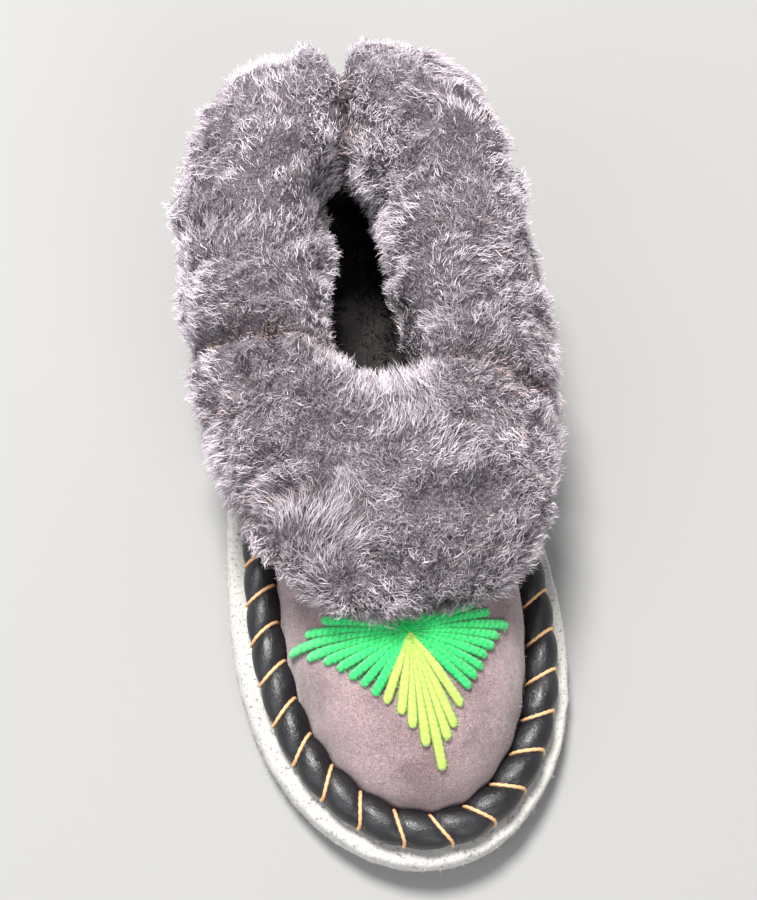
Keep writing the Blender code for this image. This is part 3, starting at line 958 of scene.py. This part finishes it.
def whip_stitches(sizes, colours):
    """Thread over the roll: each stitch lies on the roll's surface in its slanting groove, from side to side.

    The thread is a tube whose radius has two rounded strands that wind once every few millimetres.
    """
    random = np.random.default_rng(53)
    count, steps, sides = sizes.stitch_count, 32, 8
    fine, run = roll_run()
    length = run[-1]
    pitch = length / count
    inside_end, outside_end = 196, -34
    turn = np.radians(np.linspace(inside_end, outside_end, steps))[None, :]
    start = (np.arange(count) * pitch)[:, None]
    wander = random.uniform(-0.5, 0.5, (count, 1)) * MM * np.sin(turn)
    along = start + stitch_along(turn, sizes) + wander
    angle = np.interp(along % length, run, fine)
    turns = np.broadcast_to(turn, along.shape)
    centre = roll_point(angle, along, turns, pitch, sizes, sizes.thread_radius * 0.55)
    middle = roll_point(angle, along, turns, pitch, sizes, -ROLL_RADIUS * 0.8)
    share = np.linspace(0, 1, steps)
    ends = np.sqrt(np.clip(np.minimum(share, 1 - share) / 0.06, 0, 1))
    radius = np.broadcast_to(sizes.thread_radius * ends, along.shape)
    grid = tube(centre, radius, sides, unit(centre - middle))
    stitch_length, strand_turn = 20 * MM, 4.2 * MM
    wound = np.linspace(0, stitch_length, steps) / strand_turn * TURN
    strands = 1 + 0.16 * np.cos(2 * (section_turns(sides)[None, :] - wound[:, None]))
    grid = centre[:, :, None] + (grid - centre[:, :, None]) * strands[None, ..., None]
    uv = np.broadcast_to(grid_uv(steps, sides), (count, steps, sides, 2))
    piece = put_mesh("whip_thread", grid, [many_grids(count, steps, sides)], uv)
    close_seams(piece)
    return finish_piece(piece, thread_material(colours), None)


def plan_cross(first, second):
    """Cross product of vectors in plan, as one number."""
    return first[..., 0] * second[..., 1] - first[..., 1] * second[..., 0]


def vamp_place(plan):
    """Angle and v of the upper at plan points on the vamp.

    It starts at the nearest point of a grid and takes Newton steps in plan, none of them longer than a limit.
    """
    a, v = np.meshgrid(np.linspace(-1.5, 1.5, 121), np.linspace(0.02, 1, 81), indexing="ij")
    known = upper_curve(a, v)[..., :2].reshape(-1, 2)
    near = ((plan[..., None, :] - known) ** 2).sum(axis=-1).argmin(axis=-1)
    a, v = a.ravel()[near], v.ravel()[near]
    step, longest, least_area = 1e-4, 0.05, 1e-9
    for _ in range(5):
        here = upper_curve(a, v)[..., :2]
        by_a = (upper_curve(a + step, v)[..., :2] - here) / step
        by_v = (upper_curve(a, v + step)[..., :2] - here) / step
        miss = plan - here
        area = plan_cross(by_a, by_v)
        area = np.where(np.abs(area) < least_area, least_area, area)
        a = a + np.clip(plan_cross(miss, by_v) / area, -longest, longest)
        v = np.clip(v + np.clip(plan_cross(by_a, miss) / area, -longest, longest), 0.01, 1)
    return a, v


def stitch_room(bearing):
    """Half the mean angle from a stitch of the fan to the stitches on either side of it, in degrees."""
    every = np.sort([degrees for stitches in FAN.values() for degrees, _ in stitches])
    gaps = np.diff(every, prepend=every[-1] - 360, append=every[0] + 360)
    return ((gaps[:-1] + gaps[1:]) / 4)[np.searchsorted(every, bearing)]


def fan_paths(yarn, steps):
    """Middle lines of the fan's stitches, straight in plan from near its centre, with the suede's normals.

    With them come the way gone along each stitch, its length, and the half width that its neighbours leave
    it: the distance from the hub times the tangent of half the angle between them.
    """
    degrees, length = np.array(FAN[yarn]).T[..., None]
    bearing = np.radians(degrees)
    whole = length * MM - FAN_START
    run = whole * np.linspace(0, 1, steps)
    reach = FAN_START + run
    plan = np.array(FAN_CENTRE) + np.stack([np.sin(bearing) * reach, -np.cos(bearing) * reach], axis=-1)
    point, normal, _ = upper_frame(*vamp_place(plan))
    room = (run + FAN_HUB) * np.tan(np.radians(stitch_room(degrees)))
    return point, normal, run, whole, room


def yarn_stitches(name, yarn, sizes, colour):
    """Soft yarn: a flattened tube along each stitch, rounded off at both ends, with two plies round it.

    Its radius is the yarn's own or the room between its neighbours, whichever is less, times a quarter
    circle at the ends, times one plus a small cosine of twice the winding angle. The attribute crown is
    the sine of the way round the section: 1 on top and -1 underneath.
    """
    steps, sides = 50, 10
    point, normal, run, length, room = fan_paths(yarn, steps)
    stitches = len(point)
    random = np.random.default_rng(61)
    full = sizes.yarn_radius * random.uniform(0.92, 1.06, (stitches, 1))
    from_end = np.minimum(run, length - run)
    rounded = np.sqrt(np.clip(1 - np.clip(1 - from_end / (full * 1.1), 0, 1) ** 2, 0, 1))
    radius = np.minimum(full, room) * rounded
    # between is how light the yarn is at its darkest tones: its dark fibres, and the painted shade where its
    # plies meet.
    layer, between = (1.5, 0.66) if yarn == "lime" else (np.arange(stitches)[:, None] % 2, 0.24)
    raised = 0.55 * MM * np.exp(-run / (11 * MM)) * layer
    centre = point + normal * (radius * 0.42 - 0.25 * MM + raised * rounded)[..., None]
    grid = tube(centre, radius, sides, normal)
    wind = section_turns(sides)[None, None, :]
    twist = run / sizes.yarn_twist * TURN + random.uniform(0, TURN, (stitches, 1))
    turned = 2 * (wind - twist[..., None])
    away = (grid - centre[:, :, None]) * (1 + 0.025 * np.cos(turned))[..., None]
    flat = (away * normal[:, :, None]).sum(axis=-1, keepdims=True) * normal[:, :, None]
    grid = centre[:, :, None] + away - flat * 0.22
    u = np.broadcast_to((run / (12 * MM))[..., None], turned.shape)
    uv = np.stack([u, turned / (2 * TURN)], axis=-1)
    piece = put_mesh(name, grid, [many_grids(stitches, steps, sides)], uv)
    # crown lets the yarn's material paint shade on each stitch's flanks.
    crown = np.broadcast_to(np.sin(wind), turned.shape).astype(np.float32)
    piece.data.attributes.new("crown", "FLOAT", "POINT").data.foreach_set("value", crown.ravel())
    close_seams(piece)
    finish_piece(piece, yarn_material(name.replace("_", " "), colour, between), None)
    return centre, normal, unit(np.cross(np.gradient(centre, axis=1), normal)), radius


def yarn_fuzz(name, centre, normal, side, radius, colour, seed):
    """Loose fibres on the yarn: short bent hairs at random places along the stitches and round them."""
    random = np.random.default_rng(seed)
    stitches, steps = centre.shape[:2]
    fibres_per_stitch = 150
    count = stitches * fibres_per_stitch
    which = random.integers(0, stitches, count)
    step = random.integers(3, steps - 1, count)
    turn = random.uniform(-0.2, math.pi + 0.2, count)[:, None]
    out = side[which, step] * np.cos(turn) + normal[which, step] * np.sin(turn)
    lean = unit(random.normal(size=(count, 3)))
    root = centre[which, step] + out * radius[which, step, None] * 0.8
    length = random.uniform(0.6, 2.0, count)[:, None] * MM
    spine = bent_hairs(root, out, lean, length, early_lean=0.7, late_out=0.4)
    tone = random.uniform(0.3, 0.9, count)
    piece = hair_mesh(name, spine, 0.10 * MM, unit(np.cross(out, lean)), tone)
    material = hair_material(name.replace("_", " "), shade(colour, 0.8), colour, colour)
    return finish_piece(piece, material, None)


def insole_piece(colours):
    """The fleece insole: a plate whose top is made lumpy by a sum of waves."""
    base = SOLE_THICKNESS + ROLL_REST
    edge = {"round_low": 0.8 * MM, "round_high": 1.8 * MM}
    grid = plate_surface(INSOLE_OFFSET, base, INSOLE_THICKNESS, **edge, stations=150, across=12)
    top = np.clip((grid[..., 2] - sole_lift(grid[..., 1]) - SOLE_THICKNESS) / INSOLE_THICKNESS - 0.6, 0, 1)
    grid[..., 2] += top * 0.9 * MM * ripple(grid, 6 * MM, 71)
    piece = put_mesh("fleece_insole", grid, [grid_quads(*grid.shape[:2], wrap_columns=False)])
    close_seams(piece)
    return finish_piece(piece, fleece_material(colours), "fleece", "insole")


def insole_fleece(sizes, colours):
    """Fleece on the insole: curled hairs at random places, leaning in tufts along sums of waves."""
    random = np.random.default_rng(73)
    count = sizes.fleece_hairs
    angle = random.uniform(0, TURN, count)
    share = np.sqrt(random.uniform(0, 1, count))
    edge = outline(angle, np.full(count, INSOLE_OFFSET - 3 * MM))
    plan = np.stack([edge[:, 0] * share, edge[:, 1]], axis=-1)
    root = lifted(plan, SOLE_THICKNESS + INSOLE_THICKNESS - 0.5 * MM)
    lean = np.stack([ripple(root, 11 * MM, 74), ripple(root, 11 * MM, 75), np.full(count, 1.2)], axis=-1)
    lean = unit(lean + random.normal(size=(count, 3)) * 0.35)
    length = random.uniform(3.5, 6.5, count)[:, None] * MM
    bend = unit(np.cross(lean, random.normal(size=(count, 3))))
    spine = np.stack([root, root + lean * length * 0.5 + bend * MM, root + lean * length], axis=1)
    piece = hair_mesh("insole_wool", spine, 0.36 * MM, bend, random.uniform(0, 0.92, count))
    dark, light = shade(colours.fleece, 0.7), shade(colours.fleece, 3.4)
    return finish_piece(piece, hair_material("insole wool", dark, light, colours.fleece), "fleece")


def lining_piece(colours):
    """Fleece lining of the upper: its inside moved in by an uneven depth, closed against the wall."""
    angle = even_angles(130)
    v = np.linspace(0.03, 0.94, 20)
    point, normal, _ = upper_frame(angle[:, None], v[None, :])
    ends = np.clip(np.minimum(v - v[0], v[-1] - v) / 0.07, 0, 1)
    depth = WALL + 0.15 * MM + ends * (2.6 * MM + 0.8 * MM * ripple(point, 8 * MM, 77))
    face = point - normal * depth[..., None]
    back = point - normal * (WALL + 0.1 * MM)
    grid = np.concatenate([back, face[:, ::-1]], axis=1)
    piece = put_mesh("fleece_lining", grid, [grid_quads(*grid.shape[:2])])
    return finish_piece(piece, fleece_material(colours), "fleece")


def fold_depth(points):
    """Depth of the cuff's main folds: a bell curve of the distance in plan to the nearest fold's line."""
    depth = np.zeros(points.shape[:-1])
    for fold in CUFF_FOLDS:
        line = np.array(fold.line) * MM
        for start, end in zip(line[:-1], line[1:]):
            along = end - start
            share = np.clip((points[..., :2] - start) @ along / (along @ along), 0, 1)
            away = np.linalg.norm(points[..., :2] - start - share[..., None] * along, axis=-1)
            depth = np.maximum(depth, fold.depth * MM * np.exp(-((away / (fold.width * MM)) ** 2)))
    return depth


def tufts(points):
    """Soft tufts between about -1 and 1: sums of waves, drawn out along the streaks at the front."""
    drawn = points - (points @ STREAK)[..., None] * STREAK * 0.62
    front = np.clip((12 * MM - points[..., 1]) / (35 * MM), 0, 1)
    return ripple(points, 14 * MM, 100) * (1 - front) + ripple(drawn, 9.5 * MM, 101) * front


def hem_share(place):
    """How near the hem a place down the section lies: 1 at the hem, 0 from a third of the way in."""
    return np.clip(1 - place * 3, 0, 1)


def pile_relief(top):
    """Height of the brushed pile over the cuff's form: soft waves and tufts, less the folds and partings.

    The partings follow the lines where a second sum of waves is nought, with a bell curve across them.
    The second result is how deep a place lies in a parting or fold: 0 in the open and more in partings and
    folds. The hairs' tones paint shade from it.
    """
    parting = np.exp(-((ripple(top, 58 * MM, 98) / 0.13) ** 2)) * 0.7
    fold = fold_depth(top)
    waves = ripple(top, 34 * MM, 97) * 1.2 * MM + tufts(top) * 1.9 * MM
    return waves - parting * 2.2 * MM - fold, np.maximum(parting, fold / (4 * MM))


def hair_free(depth, sizes):
    """Length of a hair that stands free of the underwool: less where the pile is thin."""
    return np.minimum(sizes.hair_length, depth * 0.36)


def cuff_body(sizes, colours):
    """The cuff under its hairs: the pile less most of the hairs' length, uneven, closed along the upper."""
    stations, rows = 240, 54
    skin, outward, depth, _ = cuff_field(stations, rows)
    top = skin + outward * depth[..., None]
    even = 1 - HEM_EVENNESS * hem_share(np.linspace(0, 1, rows))
    lumps = pile_relief(top)[0] * even + ripple(top, 6 * MM, 81) * 0.4 * MM
    below = hair_free(depth, sizes)
    surface = top - outward * (below - np.clip(lumps, -0.48 * depth, below))[..., None]
    angle = np.arange(stations) * TURN / stations
    inner = curve_place(angle, np.tile([0.95, 0.5, 0.0], (stations, 1)) * CUFF_INNER_DROP)
    point, normal, _ = upper_frame(angle[:, None], inner)
    seat_in = point - normal * (WALL + 0.2 * MM)
    outer = curve_place(angle, np.array([0.0, 0.25, 0.5, 0.75, 0.98]) * cuff_hem(angle))
    point, normal, way = upper_frame(angle[:, None], outer)
    seat_out = point + normal * 0.5 * MM
    seat_in[:, -1] -= way[:, 0] * 0.3 * MM
    seat_out[:, 0] -= way[:, 0] * 0.3 * MM
    grid = np.concatenate([surface, seat_in, seat_out], axis=1)
    piece = put_mesh("cuff_underwool", grid, [grid_quads(*grid.shape[:2])])
    return finish_piece(piece, wool_skin_material(colours), "wool", "wool_cuff")


def sampled(grid, i, j):
    """Values of a grid between its points: straight mix of four neighbours, wrapped round the slipper."""
    rows, columns = grid.shape[:2]
    i0 = np.floor(i).astype(int) % rows
    j0 = np.clip(np.floor(j).astype(int), 0, columns - 2)
    s = (i - np.floor(i))[:, None]
    t = (j - j0)[:, None]
    flat = grid.reshape(rows, columns, -1)
    low = flat[i0, j0] * (1 - s) + flat[(i0 + 1) % rows, j0] * s
    high = flat[i0, j0 + 1] * (1 - s) + flat[(i0 + 1) % rows, j0 + 1] * s
    return low * (1 - t) + high * t


def even_places(surface, spacing, seed):
    """Places about a spacing apart on the cuff: points along rows across its section, a little shifted."""
    random = np.random.default_rng(seed)
    shift = 0.34
    rows, columns = surface.shape[:2]
    across = np.linalg.norm(np.diff(surface, axis=1), axis=2).mean(axis=0)
    run = np.concatenate([[0], np.cumsum(across)])
    lines = np.arange(spacing / 2, run[-1], spacing)
    places = []
    for line, j in zip(lines, np.interp(lines, run, np.arange(columns))):
        ring = sampled(surface, np.arange(rows).astype(float), np.full(rows, j))
        around = running_length(np.concatenate([ring, ring[:1]]))
        count = max(8, int(around[-1] / spacing))
        want = (np.arange(count) + random.uniform(0, 1)) / count * around[-1]
        want = (want + random.uniform(-shift, shift, count) * spacing) % around[-1]
        i = np.interp(want, around, np.arange(rows + 1)) % rows
        shifted = np.interp(line + random.uniform(-shift, shift, count) * spacing, run, np.arange(columns))
        places.append(np.stack([i, shifted], axis=-1))
    return np.concatenate(places)


def across_pile(vectors, way):
    """The part of vectors that lies across the direction of the pile."""
    return vectors - way * (vectors * way).sum(axis=-1, keepdims=True)


Locks = namedtuple("Locks", "angle near_hem inside top way deep lean tip patch low")


def wool_locks(sizes, random):
    """Locks of wool: where each stands on the cuff, how it leans and where its tip lies.

    A lock points along the pile. It leans along a smooth field, a sum of waves, as brushed wool does, and
    uphill, so that the locks of one tuft come together. Its tip hangs down a little, most over the vamp.
    """
    stations, rows = 288, 64
    hem_rows, inside_from, inside_rows = 11, 44, 8
    fields = cuff_field(stations, rows)
    skin, outward, depth, _ = fields
    places = even_places(skin + outward * depth[..., None], sizes.lock_spacing, 92)
    i, j = places[np.argsort(places[:, 0])].T
    foot, way, deep, hang = (sampled(grid, i, j) for grid in fields)
    way = unit(way)
    top = foot + way * deep
    angle = i / stations * TURN
    near_hem = hem_share(j / (rows - 1))[:, None]
    at_hem = np.clip(1 - j / hem_rows, 0, 1)[:, None]
    inside = np.clip((j - inside_from) / inside_rows, 0, 1)[:, None]
    # low: how deep a lock lies in a parting or fold, which the hairs' tones turn into painted shade.
    relief, low = pile_relief(top)
    patch = ripple(top, 60 * MM, 99)
    flow = across_pile(np.stack([ripple(top, 44 * MM, seed) for seed in (94, 95, 96)], axis=-1), way)
    step = 0.5 * MM
    slope = np.stack([pile_relief(top + axis * step)[0] - relief for axis in np.eye(3)], axis=-1) / step
    uphill = across_pile(slope, way) * (1 - near_hem)
    rise = np.maximum(relief[:, None] * (1 - HEM_EVENNESS * near_hem), -0.46 * deep)
    rise = rise + random.normal(0, 0.35, (len(top), 1)) * MM + 2.5 * MM * inside
    lean = flow * sizes.hair_sweep * (1 + 0.5 * patch[:, None]) + uphill * 0.9 * MM
    lean = lean + random.normal(size=(len(top), 3)) * 0.7 * MM
    hanging = 0.5 + at_hem * (1.5 + 3.0 * vamp_share(angle)[:, None])
    tip = top + way * rise + lean + hang * hanging * MM
    return Locks(angle, near_hem, inside, top, way, deep, lean, tip, patch, low)


def hair_tones(locks, fuzz, random):
    """Tone of each hair, with painted light and shade: lighter on the tufts' crests and to the rear, darker
    in folds, partings, inside the mouth and at the front hem.

    The tones stop short of the map's far end. A few hairs, more of them in folds as a painted brownish shade,
    take the warm tone there.
    """
    crest = np.clip(tufts(locks.top), -1.3, 1.3)
    ahead = np.cos(locks.angle)
    # Painted light and shade: the tufts' crests lighter, partings and folds darker, the mouth's inside
    # darker; broad patches of the pile's lay are a painted sheen.
    tone = 0.53 + 0.17 * crest - 0.40 * locks.low + 0.06 * locks.patch - 0.12 * locks.inside[:, 0]
    # Painted light: the rear of the cuff lighter. The random part is each hair's own tone.
    tone = tone + random.normal(0, 0.12, len(crest)) + 0.22 * np.clip(0.35 - ahead, 0, None)
    # Painted shade: the front hem darker.
    tone = tone - 0.32 * np.clip(ahead, 0, 1) ** 2 * locks.near_hem[:, 0]
    tone = tone[:, None] + random.normal(0, 0.19, fuzz.shape) - 0.16 * fuzz
    # A few odd brown hairs everywhere, and more in folds as a painted brownish shade.
    warm = random.uniform(0, 1, fuzz.shape) < 0.012 + 0.20 * locks.low[:, None] ** 2
    return np.where(warm, 0.97, np.clip(tone, 0.02, 0.92))


def wool_hairs(sizes, colours):
    """Hairs of the cuff. Roots spread round each lock's foot; tips draw together a little at the lock's tip.

    A hair is a straight line from root to tip plus a swing to one side and back. Two in five hairs are
    short under-fuzz.
    """
    random = np.random.default_rng(91)
    locks = wool_locks(sizes, random)
    shape = (len(locks.top), sizes.hairs_per_lock)
    way = locks.way[:, None]
    first = unit(np.cross(locks.way, random.normal(size=locks.way.shape)))
    second = np.cross(locks.way, first)
    fuzz = (random.uniform(0, 1, (*shape, 1)) < 0.4) * 1.0
    spread = np.sqrt(random.uniform(0, 1, (*shape, 1))) * sizes.lock_spacing
    bearing = random.uniform(0, TURN, (*shape, 1))
    across = first[:, None] * np.cos(bearing) + second[:, None] * np.sin(bearing)
    foot = locks.tip - locks.lean - locks.way * (hair_free(locks.deep, sizes) + 0.9 * MM)
    root = foot[:, None] + across * spread
    height = random.normal(-0.3, 0.45, (*shape, 1)) * MM - 1.1 * MM * fuzz
    loose = across_pile(random.normal(size=(*shape, 3)) * sizes.hair_frizz, way)
    end = locks.tip[:, None] + across * spread * 0.50 + way * height + loose
    t = np.array([0, 0.36, 0.70, 1.0])
    swing = np.array([0, 1.0, -0.85, 0.45])[:, None]
    taper = np.array([1.0, 0.95, 0.75, 0.0])
    bend = unit(np.cross(end - root, random.normal(size=end.shape)))
    curl = sizes.hair_crimp * random.uniform(0.4, 1.3, (*shape, 1))
    kink = random.normal(size=(*shape, t.size, 3)) * 0.18 * MM
    straight = root[:, :, None] + (end - root)[:, :, None] * t[:, None]
    spine = straight + (bend * curl)[:, :, None] * swing + kink
    side = unit(np.cross(end - root, random.normal(size=end.shape)))
    width = sizes.hair_width * taper * random.uniform(0.7, 1.25, (*shape, 1))
    tone = hair_tones(locks, fuzz[..., 0], random)
    material = hair_material("cuff wool", colours.wool_root, colours.wool_tip, colours.wool_warm)
    names = ("cuff_wool_front_right", "cuff_wool_back_right", "cuff_wool_back_left", "cuff_wool_front_left")
    for name, part in zip(names, np.array_split(np.arange(shape[0]), len(names))):
        hairs = len(part) * shape[1]
        piece = hair_mesh(
            name,
            spine[part].reshape(hairs, t.size, 3),
            width[part].reshape(hairs, t.size),
            side[part].reshape(hairs, 3),
            tone[part].reshape(hairs),
        )
        finish_piece(piece, material, "wool")


# Stage

CAMERA_AT = Vector((-0.0811, -0.2102, 0.5153))
CAMERA_AIM = Vector((-0.002, -0.004, 0.040))
CAMERA_LENS = 62.0
# Direction in the slipper's frame that stands upright in the picture
CAMERA_UP = Vector((0.105, 0.905, 0.407))
FLOOR_SIDES = 72
FLOOR_FLAT = 2.4
FLOOR_REACH = 4.0
FLOOR_BEND = 1.4
FLOOR_DROP = 0.4 * MM


def look_from(obj, place, aim, up):
    """Turns an object so that its -Z looks from place to aim and its Y stands as near up as it can."""
    back = (place - aim).normalized()
    right = up.cross(back).normalized()
    rise = back.cross(right)
    turned = Matrix((right, rise, back)).transposed().to_4x4()
    obj.matrix_world = Matrix.Translation(place) @ turned


def area_light(name, place, aim, size, power, colour):
    """A round soft light at a place, turned to its aim."""
    data = bpy.data.lights.new(name, "AREA")
    data.shape = "DISK"
    data.size = size
    data.energy = power
    data.color = colour
    made = bpy.data.objects.new(name, data)
    bpy.context.scene.collection.objects.link(made)
    look_from(made, Vector(place), Vector(aim), Vector((0, 1, 0.01)))


def stage_pieces(colours):
    """A round floor that curves up into a wall, three soft lights and the camera.

    The floor's profile is flat, then a quarter circle, then upright, and is turned about the upright axis.
    """
    turn = np.arange(FLOOR_SIDES) * TURN / FLOOR_SIDES
    bend = np.radians(np.linspace(0, 90, 13))
    flat = np.linspace(0, FLOOR_FLAT, 7)
    curved = FLOOR_REACH - FLOOR_BEND + FLOOR_BEND * np.sin(bend)
    reach = np.concatenate([flat, curved, [FLOOR_REACH, FLOOR_REACH]])
    wall = [FLOOR_BEND + 1, FLOOR_BEND + 2]
    height = np.concatenate([np.zeros(flat.size), FLOOR_BEND * (1 - np.cos(bend)), wall]) - FLOOR_DROP
    across, along = np.outer(np.sin(turn), reach), np.outer(np.cos(turn), reach)
    grid = np.stack([across, along, np.broadcast_to(height, across.shape)], axis=-1)
    mesh = bpy.data.meshes.new("floor")
    quads = grid_quads(*across.shape, wrap_columns=False)
    mesh.from_pydata(grid.reshape(-1, 3).tolist(), [], quads.tolist())
    mesh.polygons.foreach_set("use_smooth", np.ones(len(quads), dtype=bool))
    floor = bpy.data.objects.new("floor", mesh)
    bpy.context.scene.collection.objects.link(floor)
    close_seams(floor)
    mesh.materials.append(floor_material(colours))

    aim = (0, 0, 0.04)
    area_light("key light", (-0.42, 0.82, 2.08), aim, 0.7, 121.0, (1.0, 0.975, 0.94))
    area_light("fill light", (-1.8, -1.0, 1.6), aim, 2.0, 30.0, (0.92, 0.96, 1.0))
    area_light("front light", (0.5, -2.0, 1.5), aim, 1.4, 26.0, (1.0, 0.99, 0.97))
    world = bpy.data.worlds.new("studio")
    world.use_nodes = True
    background = world.node_tree.nodes["Background"].inputs
    background["Color"].default_value = (0.93, 0.95, 1.0, 1.0)
    background["Strength"].default_value = 0.46
    bpy.context.scene.world = world
    bpy.context.scene.view_settings.view_transform = "Standard"

    data = bpy.data.cameras.new("camera")
    data.sensor_width = 36.0
    data.lens = CAMERA_LENS
    data.clip_start = 0.01
    camera = bpy.data.objects.new("camera", data)
    bpy.context.scene.collection.objects.link(camera)
    look_from(camera, CAMERA_AT, CAMERA_AIM, CAMERA_UP)
    bpy.context.scene.camera = camera


# Operators


def settings(context):
    return context.scene.slipper_sizes, context.scene.slipper_colours


class SLIPPER_OT_sole(bpy.types.Operator):
    """Makes the felt sole and its loose fibres."""

    bl_idname = "slipper.sole"
    bl_label = "Felt sole"
    bl_options = {"REGISTER", "UNDO"}

    def execute(self, context):
        sizes, colours = settings(context)
        sole_piece(colours)
        felt_fibres(sizes, colours)
        return {"FINISHED"}


class SLIPPER_OT_upper(bpy.types.Operator):
    """Makes the suede upper and its nap."""

    bl_idname = "slipper.upper"
    bl_label = "Suede upper"
    bl_options = {"REGISTER", "UNDO"}

    def execute(self, context):
        sizes, colours = settings(context)
        upper_piece(sizes, colours)
        suede_nap(sizes, colours)
        return {"FINISHED"}


class SLIPPER_OT_roll(bpy.types.Operator):
    """Makes the stuffed leather roll and the thread that whips it to the sole."""

    bl_idname = "slipper.roll"
    bl_label = "Leather roll and stitches"
    bl_options = {"REGISTER", "UNDO"}

    def execute(self, context):
        sizes, colours = settings(context)
        roll_piece(sizes, colours)
        whip_stitches(sizes, colours)
        return {"FINISHED"}


class SLIPPER_OT_embroidery(bpy.types.Operator):
    """Makes the yarn fan on the vamp."""

    bl_idname = "slipper.embroidery"
    bl_label = "Embroidered fan"
    bl_options = {"REGISTER", "UNDO"}

    def execute(self, context):
        sizes, colours = settings(context)
        wings = yarn_stitches("green_stitches", "green", sizes, colours.green_yarn)
        yarn_fuzz("green_fuzz", *wings, colours.green_yarn, 63)
        middle = yarn_stitches("lime_stitches", "lime", sizes, colours.lime_yarn)
        yarn_fuzz("lime_fuzz", *middle, colours.lime_yarn, 64)
        return {"FINISHED"}


class SLIPPER_OT_lining(bpy.types.Operator):
    """Makes the fleece insole and lining."""

    bl_idname = "slipper.lining"
    bl_label = "Insole and lining"
    bl_options = {"REGISTER", "UNDO"}

    def execute(self, context):
        sizes, colours = settings(context)
        insole_piece(colours)
        insole_fleece(sizes, colours)
        lining_piece(colours)
        return {"FINISHED"}


class SLIPPER_OT_cuff(bpy.types.Operator):
    """Makes the wool cuff: the underwool and the locks of hair on it."""

    bl_idname = "slipper.cuff"
    bl_label = "Wool cuff"
    bl_options = {"REGISTER", "UNDO"}

    def execute(self, context):
        sizes, colours = settings(context)
        cuff_body(sizes, colours)
        wool_hairs(sizes, colours)
        return {"FINISHED"}


class SLIPPER_OT_stage(bpy.types.Operator):
    """Sets the floor, the lights and the camera."""

    bl_idname = "slipper.stage"
    bl_label = "Stage"
    bl_options = {"REGISTER", "UNDO"}

    def execute(self, context):
        stage_pieces(context.scene.slipper_colours)
        return {"FINISHED"}


OPERATORS = (
    SLIPPER_OT_sole,
    SLIPPER_OT_upper,
    SLIPPER_OT_roll,
    SLIPPER_OT_embroidery,
    SLIPPER_OT_lining,
    SLIPPER_OT_cuff,
    SLIPPER_OT_stage,
)


class SLIPPER_PT_panel(bpy.types.Panel):
    """Sizes, colours and pieces of the slipper."""

    bl_idname = "SLIPPER_PT_panel"
    bl_label = "Sheepskin slipper"
    bl_space_type = "VIEW_3D"
    bl_region_type = "UI"
    bl_category = "Slipper"

    def draw(self, context):
        for group in (context.scene.slipper_sizes, context.scene.slipper_colours):
            box = self.layout.box()
            for name in group.__annotations__:
                box.prop(group, name)
        for operator in OPERATORS:
            self.layout.operator(operator.bl_idname)


CLASSES = (SlipperSizes, SlipperColours, *OPERATORS, SLIPPER_PT_panel)


def register():
    for each in CLASSES:
        bpy.utils.register_class(each)
    bpy.types.Scene.slipper_sizes = PointerProperty(type=SlipperSizes)
    bpy.types.Scene.slipper_colours = PointerProperty(type=SlipperColours)


def unregister():
    del bpy.types.Scene.slipper_sizes
    del bpy.types.Scene.slipper_colours
    for each in reversed(CLASSES):
        bpy.utils.unregister_class(each)


def main():
    register()
    bpy.ops.slipper.sole()
    bpy.ops.slipper.upper()
    bpy.ops.slipper.roll()
    bpy.ops.slipper.embroidery()
    bpy.ops.slipper.lining()
    bpy.ops.slipper.cuff()
    bpy.ops.slipper.stage()


if __name__ == "__main__":
    main()
